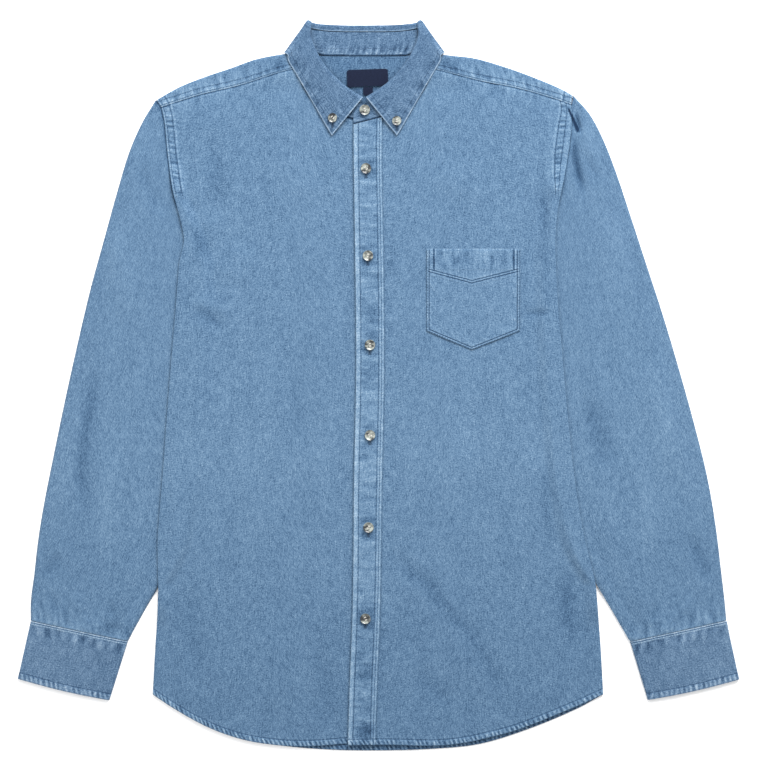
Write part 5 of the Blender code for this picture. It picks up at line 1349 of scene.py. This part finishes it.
def standGrid():
    halves = []
    for side in inward:
        bottoms, band = standBottoms(side), []
        for index, (station, bottom) in enumerate(zip(collarFrames(side), bottoms)):
            fold, _, down, out, atFold, _ = station
            clear = stand["lipGapTurning" if index in forward else "lipGap"]
            band.append((bottom, fold + down * (collar["lip"] + clear) + out * (atFold - 2 * collar["roll"])))
        for (lowX, lowY, _), (x, y, top, low) in zip(bottoms[-2:], stand[side]):
            band.append(((lowX, lowY, low), (x, y, top)))
        halves.append(band)
    band = np.array(halves[0][::-1] + halves[1][1:])
    return np.stack([band[:, 0] + share * (band[:, 1] - band[:, 0]) for share in stand["shares"]], axis=1)


def standSheet():
    grid = refined(standGrid(), stand)
    x, y, z = grid[..., 0], grid[..., 1], grid[..., 2]
    low, high, run, _ = borders(grid)
    byYoke, byLip = (much * bell(y, *at) * smooth(1 - edge / reach) * ramp(way, *start)
                     for (much, at, reach, start), edge, way in (
                         (stand["byYoke"], low, np.abs(x - neckX)), (stand["byLip"], high, z)))
    x += np.sign(x - neckX) * (byLip - byYoke)
    piece = clothPiece("shirtStand", "collar_stand", [(grid, 0.0, {"neckSeam": (run, low, 1.0)})],
                       stand, upAt=lambda spot: False, offset=0)
    return grid


collarPoints = collarSheet()
standPoints = standSheet()
print("cloth made")

sewing = {
    "pitch": 3.1, "stitch": (2.4, 0.7), "flat": 2.4, "sink": 0.08,
    "probe": 0.5, "least": 0.2,   # a line's heading is read this far each way; less is its end
    "leftFrom": 0.5, "rightTo": -32.0,   # hems of the fronts, beside the placket
    "collarAbove": 7.5, "tipsAbove": 7.0,   # on the leaves only
}


# Points of a grid at one distance from a border: 0 first column, 1 last column,
# 2 first row, 3 last row.
def lineAt(grid, border, distance, keep=None, away=None):
    away = borders(grid)[border] if away is None else away
    if border > 1:
        grid, away = grid.swapaxes(0, 1), away.T
    found = []
    for line, far in zip(grid, away):
        order = slice(None) if far[0] < far[-1] else slice(None, None, -1)
        if far.max() > distance:
            found.append([np.interp(distance, far[order], line[order, axis]) for axis in range(3)])
    found = np.array(found)
    return found if keep is None else found[keep(*found.T)]


# One stitch, modelled once: its points and faces.
def stitchShape(long, thick):
    bpy.ops.object.select_all(action="DESELECT")
    bpy.ops.mesh.primitive_uv_sphere_add(segments=6, ring_count=3, radius=1.0)
    shape = bpy.context.object
    bpy.ops.transform.resize(value=(long / 2, thick / 2, thick / sewing["flat"]))
    bpy.ops.object.transform_apply(location=False, rotation=False, scale=True)
    points = np.array([vertex.co[:] for vertex in shape.data.vertices])
    faces = [tuple(face.vertices) for face in shape.data.polygons]
    bpy.data.objects.remove(shape, do_unlink=True)
    return points, faces


# Thread: spun polyester, dull and slightly fuzzy.
def spunThread(name, low, high):
    material, tree, shader = newMaterial(name, 0.8, sheen=0.1, specular=0.2)
    twist = patternOn(tree, addNode(tree, "TexCoord").outputs["Object"], 1.1)
    colourBy(tree, shader, twist, [(0.3, low), (0.7, high)])
    return material


# Copies of one stitch, each at a place, with a heading and an up direction.
def sew(name, places, shape, material):
    unit, unitFaces = shape
    points, faces = [], []
    for spot, ahead, up in places:
        ahead = ahead / np.linalg.norm(ahead)
        side = np.cross(up, ahead)
        side /= np.linalg.norm(side)
        faces += [tuple(len(points) + index for index in face) for face in unitFaces]
        turned = unit @ np.array([ahead, side, np.cross(ahead, side)]) + spot - origin
        points += (turned * mm).tolist()
    mesh = bpy.data.meshes.new(name)
    mesh.from_pydata(points, [], faces)
    newPiece(name, mesh, material)
    print(name, len(places), "stitches")


# Places of the stitches along each line of points.
def stitchesOn(lines):
    places = []
    for line in lines:
        measure = np.concatenate(([0.0], np.cumsum(np.linalg.norm(np.diff(line, axis=0), axis=1))))
        at = np.arange(sewing["pitch"] / 2, measure[-1], sewing["pitch"])
        before, spots, after = (np.stack([np.interp(at + shift, measure, line[:, axis]) for axis in range(3)],
                                         axis=-1) for shift in (-sewing["probe"], 0.0, sewing["probe"]))
        places += [(spot - upward * sewing["sink"], ahead, upward) for spot, ahead in
                   zip(spots, after - before) if np.linalg.norm(ahead) > sewing["least"]]
    return places


# Lines over the pocket through corner points, on its surface.
def pocketLines():
    tree = treeOf(pocketGrid)
    left, right, top, point = (pocket[key] for key in ("left", "right", "top", "point"))
    outlines = []
    for inset in pocket["stitchInsets"]:
        low = pocket["sideBottom"] + inset * pocket["cornerRise"]
        high = top - pocket["stitchTop"]
        outlines.append([(left + inset, high), (left + inset, low),
                         (point[0], point[1] + inset * pocket["pointRise"]),
                         (right - inset, low), (right - inset, high)])
    for rise in pocket["vStitches"]:
        ends = top - pocket["vSide"] + rise - pocket["vLower"]
        outlines.append([(left + pocket["vInset"], ends), (point[0], top - pocket["vPoint"] + rise),
                         (right - pocket["vInset"], ends)])
    for x in (left + pocket["barLeft"], right - pocket["barRight"]):
        outlines.append([(x, top - pocket["barTop"]), (x, top - pocket["barLong"])])
    lines = []
    for corners in outlines:
        spots = [(x1 + part * (x2 - x1), y1 + part * (y2 - y1)) for (x1, y1), (x2, y2) in
                 zip(corners, corners[1:]) for part in np.linspace(0, 1, pocket["spots"])]
        heights = [heightOn(tree, *spot)[0] for spot in spots]
        lines.append(np.array([(*spot, high) for spot, high in zip(spots, heights) if high is not None]))
    return lines


runStitch = stitchShape(*sewing["stitch"])
blueThread = spunThread("spun polyester thread, blue", "1c3049", "3a5673")
paleThread = spunThread("spun polyester thread, pale blue", "728ca3", "98adbc")
creamThread = spunThread("spun polyester thread, cream", "9d9a93", "c8c6c0")
leaf = collarPoints[:, :-4]
upperCuffs = [grid[:, :grid.shape[1] // 2 - 1] for grid in cuffGrids]
for name, thread, lines in (
    ("sewingHems", blueThread, [
        lineAt(leftFront, 3, front["hemWidth"], lambda x, y, z: x > sewing["leftFrom"]),
        lineAt(placketGrid, 3, front["hemWidth"]),
        lineAt(rightFront, 3, front["hemWidth"], lambda x, y, z: x < sewing["rightTo"]),
        lineAt(backGrid, 3, front["hemWidth"])]),
    ("sewingPlacket", blueThread, [lineAt(placketGrid, 0, inset) for inset in placket["sewnStitches"]]
        + [lineAt(placketGrid, 1, placket["freeStitch"])]),
    ("sewingArmholes", blueThread, [
        lineAt(panel, 0, inset, lambda x, y, z: y > front["armholeEnds"][0], away)
        for panel, away, side in ((rightFront, rightStrip, "right"), (leftFront, leftStrip, "left"))
        for inset in (front["outerStitch"], front["stitchInsets"][side])]),
    ("sewingYoke", blueThread, [lineAt(shoulder[len(shoulder) // 2:], 3, inset)
                                for shoulder in yokeShoulders for inset in yoke["stitchInsets"]]),
    ("sewingCollar", blueThread, [
        lineAt(collarPoints, 0, collar["stitchAt"], lambda x, y, z: z > sewing["collarAbove"])]
        + [lineAt(leaf, tip, collar["stitchAt"], lambda x, y, z: z > sewing["tipsAbove"]) for tip in (2, 3)]),
    ("sewingCuffTops", paleThread, [lineAt(grid, 2, cuff["topStitch"]) for grid in upperCuffs]),
    ("sewingCuffHems", blueThread, [lineAt(grid, 3, cuff["hemAt"]) for grid in upperCuffs]),
    ("sewingPocket", blueThread, pocketLines()),
):
    sew(name, stitchesOn(lines), runStitch, thread)

# Buttonholes: two rows of close stitches beside a slit
hole = {"pitch": 0.75, "apart": 1.1, "stitch": (1.9, 0.6), "slit": (1.6, 0.7),
        "placket": (15.0, 3.0), "collar": (13.0, 4.0)}   # length, and drop below the button
placketTree, collarTree, standTree = treeOf(placketGrid), treeOf(collarPoints), treeOf(standPoints)
sides, slits = [], []
for tree, spots, (long, drop) in ((placketTree, placket["buttons"], hole["placket"]),
                                  (collarTree, collar["buttons"], hole["collar"])):
    for x, y in spots:
        for level in np.arange(y - drop - long / 2, y - drop + long / 2, hole["pitch"]):
            high = heightOn(tree, x, level)[0]
            sides += [(np.array([x + side, level, high + sewing["sink"]]), np.array([1.0, 0.0, 0.0]), upward)
                      for side in (-hole["apart"], hole["apart"])]
            slits.append((np.array([x, level, high]), np.array([0.0, 1.0, 0.0]), upward))
sew("buttonholeStitches", sides, stitchShape(*hole["stitch"]), blueThread)
sew("buttonholeSlits", slits, stitchShape(*hole["slit"]),
    spunThread("denim in the shade of a slit", "16283c", "22384f"))

# Buttons
horn = {"width": 11.4, "collarWidth": 10.0, "height": 2.6, "sides": 28, "rim": 1.5, "dish": 1.15,
        "floor": 0.5, "soft": 0.42, "hole": 0.72, "holeAt": 1.45,
        "turns": [12, 40, -20, 5, 63, -35, 22, 48, -8],   # of each button about its own middle
        "thread": (4.3, 0.75), "threadApart": 0.3, "threadSink": 0.05,
        "colours": [(0.4, "232527"), (0.46, "4f524f"), (0.54, "7b7f79"), (0.66, "9a9f97")]}


# Mock horn: a polyester resin poured in clouds, turned and tumble polished.
def hornResin():
    material, tree, shader = newMaterial("cast polyester resin, mock horn", 0.24, coat=0.2)
    coords = addNode(tree, "TexCoord").outputs["Object"]
    colourBy(tree, shader, patternOn(tree, coords, (6.5, 4.6), 1.6), horn["colours"])
    return material


# One four-hole button, modelled in millimetres round its own middle.
def turnedButton():
    bpy.ops.object.select_all(action="DESELECT")
    bpy.ops.mesh.primitive_cylinder_add(vertices=horn["sides"], radius=horn["width"] / 2,
                                        depth=horn["height"])
    blank = bpy.context.object
    bpy.ops.object.mode_set(mode="EDIT")
    bpy.ops.mesh.select_mode(type="FACE")
    bpy.ops.mesh.select_all(action="DESELECT")
    for face in bmesh.from_edit_mesh(blank.data).faces:
        face.select = face.normal.z > 0.9
    bmesh.update_edit_mesh(blank.data)
    bpy.ops.mesh.inset(thickness=horn["rim"])
    bpy.ops.transform.translate(value=(0, 0, -horn["dish"]))
    bpy.ops.mesh.inset(thickness=horn["floor"])
    bpy.ops.object.mode_set(mode="OBJECT")
    soften = blank.modifiers.new("softened", "BEVEL")
    soften.width = horn["soft"]
    soften.segments = 2
    soften.limit_method = "ANGLE"
    bpy.ops.object.modifier_apply(modifier=soften.name)
    for x, y in ((-1, -1), (-1, 1), (1, -1), (1, 1)):
        bpy.ops.object.select_all(action="DESELECT")
        bpy.ops.mesh.primitive_cylinder_add(vertices=10, radius=horn["hole"], depth=6,
                                            location=(x * horn["holeAt"], y * horn["holeAt"], 0))
        drill = bpy.context.object
        bore = blank.modifiers.new("bore", "BOOLEAN")
        bore.operation = "DIFFERENCE"
        bore.object = drill
        bpy.context.view_layer.objects.active = blank
        bpy.ops.object.modifier_apply(modifier=bore.name)
        bpy.data.objects.remove(drill, do_unlink=True)
    return blank


def placeButtons():
    resin, pattern = hornResin(), turnedButton()
    buttons = [("button_1", 1.0, standTree)]
    buttons += [("button_%d" % (number + 2), 1.0, placketTree) for number in range(len(placket["buttons"]))]
    buttons += [("collar_button_" + side, horn["collarWidth"] / horn["width"], collarTree) for side in inward]
    threads = []
    for (node, scale, tree), turn in zip(buttons, horn["turns"]):
        low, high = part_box(node)
        centre = np.array((low + high) / 2) / mm + origin
        up = np.array(heightOn(tree, centre[0], centre[1])[1] or upward, dtype=float)
        side = np.cross((0.0, 1.0, 0.0), up)
        side /= np.linalg.norm(side)
        first = side * cos(radians(turn)) + np.cross(up, side) * sin(radians(turn))
        second = np.cross(up, first)
        mesh = pattern.data.copy()
        points = np.array([vertex.co[:] for vertex in mesh.vertices]) * (scale, scale, 1.0)
        points = (points @ np.array([first, second, up]) + centre - origin) * mm
        mesh.vertices.foreach_set("co", points.ravel())
        mesh.update()
        button = newPiece("horn_" + node, mesh, resin)
        mesh.set_sharp_from_angle(angle=radians(45))
        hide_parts(node)
        floor = centre + up * (horn["height"] / 2 - horn["dish"] - horn["threadSink"])
        threads += [(floor + second * (row + shift), first, up)
                    for row in (-horn["holeAt"] * scale, horn["holeAt"] * scale)
                    for shift in (-horn["threadApart"], horn["threadApart"])]
    bpy.data.objects.remove(pattern, do_unlink=True)
    sew("buttonThreads", threads, stitchShape(*horn["thread"]), creamThread)


placeButtons()


# Woven tape: damask, filament polyester, with a soft sheen along its weft.
def wovenTape():
    material, tree, shader = newMaterial("damask woven polyester tape", 0.85, specular=0.12)
    coords = addNode(tree, "UVMap", {"uv_map": "clothMap"}).outputs[0]
    rib = patternOn(tree, coords, (2.5, 0.4), 2.0, 0.6)
    colourBy(tree, shader, rib, [(0.25, "0d1222"), (0.8, "1a2238")])
    bump = addNode(tree, "Bump", None, Height=rib, Strength=0.3, Distance=0.2 * mm)
    tree.links.new(bump.outputs[0], shader.inputs["Normal"])
    return material


# Labels: a bare woven tape and a bare tab sewn in under it. Size, middle, turn and corner
labels = {"wall": 0.6, "rim": 0.985, "points": (40, 22), "material": wovenTape(),
          "neck": ((45.0, 18.5), (-12.6, 339.0), 2.0, 2.4), "tab": ((10.5, 8.6), (-12.0, 324.6), 0.0, 0.8)}


# A rounded rectangle of tape on the upper face of its CAD node.
def tape(name, node, size, at, turn, corner):
    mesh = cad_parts[node].data
    tree = BVHTree.FromPolygons([Vector(np.array(vertex.co) / mm + origin) for vertex in mesh.vertices],
                                [tuple(face.vertices) for face in mesh.polygons])
    across, down = labels["points"]
    u, v = np.meshgrid(np.linspace(-1, 1, across), np.linspace(1, -1, down))
    halfWide, halfHigh = size[0] / 2, size[1] / 2
    squeeze = np.clip((np.abs(v) * halfHigh - halfHigh + corner) / corner, 0, 1)
    flatX = u * (halfWide - corner * (1 - np.sqrt(1 - squeeze ** 2)))
    flatY = v * halfHigh
    x = at[0] + flatX * cos(radians(turn)) - flatY * sin(radians(turn))
    y = at[1] + flatX * sin(radians(turn)) + flatY * cos(radians(turn))
    inside = labels["rim"]   # heights are read just inside the node's edge
    high = [heightOn(tree, at[0] + (a - at[0]) * inside, at[1] + (b - at[1]) * inside)[0]
            for a, b in zip(x.ravel(), y.ravel())]
    high = np.array([np.nan if value is None else value for value in high]).reshape(x.shape)
    grid = np.stack((x, y, np.where(np.isnan(high), np.nanmean(high), high)), axis=-1)
    return clothPiece(name, node, [(grid, 0.0, {})], labels,
                      flat=np.stack((flatX, flatY), axis=-1))


neckTape = tape("neckTape", "neck_label", *labels["neck"])
sizeTape = tape("sizeTape", "size_tab", *labels["tab"])
print("sewing, buttons and labels made")

# Floor, light and camera
studio = {   # metres; each soft box is its place, size and power
    "key": ((0.6, 2.1, 1.7), 1.6, 131.0),
    "fill": ((-1.6, 0.6, 2.2), 1.8, 20.0),
    "world": 0.9,
    "height": 2.5, "x": 1.6 * mm, "y": 6.05 * mm, "span": 0.836, "film": 36.0,   # camera
}


def whitePaper():
    material, tree, shader = newMaterial("matt white paper", 0.95)
    fibre = patternOn(tree, addNode(tree, "TexCoord").outputs["Object"], 16.0)
    colourBy(tree, shader, fibre, [(0.0, "fbfbfb"), (1.0, "ffffff")])
    return material


bpy.ops.object.select_all(action="DESELECT")
bpy.ops.mesh.primitive_plane_add(size=8.0, location=(0, 0, -0.0002))
floor = bpy.context.object
floor.name = "paperSweep"
floor.data.materials.append(whitePaper())
for lightName in ("key", "fill"):
    place, size, power = studio[lightName]
    lamp = bpy.data.lights.new(lightName, "AREA")
    lamp.size = size
    lamp.energy = power
    holder = bpy.data.objects.new(lightName, lamp)
    holder.location = place
    holder.rotation_euler = (-Vector(place)).to_track_quat("-Z", "Y").to_euler()
    bpy.context.collection.objects.link(holder)
world = bpy.data.worlds.new("studio")
bpy.context.scene.world = world
world.use_nodes = True
world.node_tree.nodes["Background"].inputs[0].default_value = (1.0, 1.0, 1.0, 1.0)
world.node_tree.nodes["Background"].inputs[1].default_value = studio["world"]
lens = bpy.data.cameras.new("camera")
lens.sensor_width = studio["film"]
lens.lens = studio["film"] * studio["height"] / studio["span"]
camera = bpy.data.objects.new("camera", lens)
camera.location = (studio["x"], studio["y"], studio["height"])
bpy.context.collection.objects.link(camera)
bpy.context.scene.camera = camera
bpy.context.scene.view_settings.view_transform = "Standard"
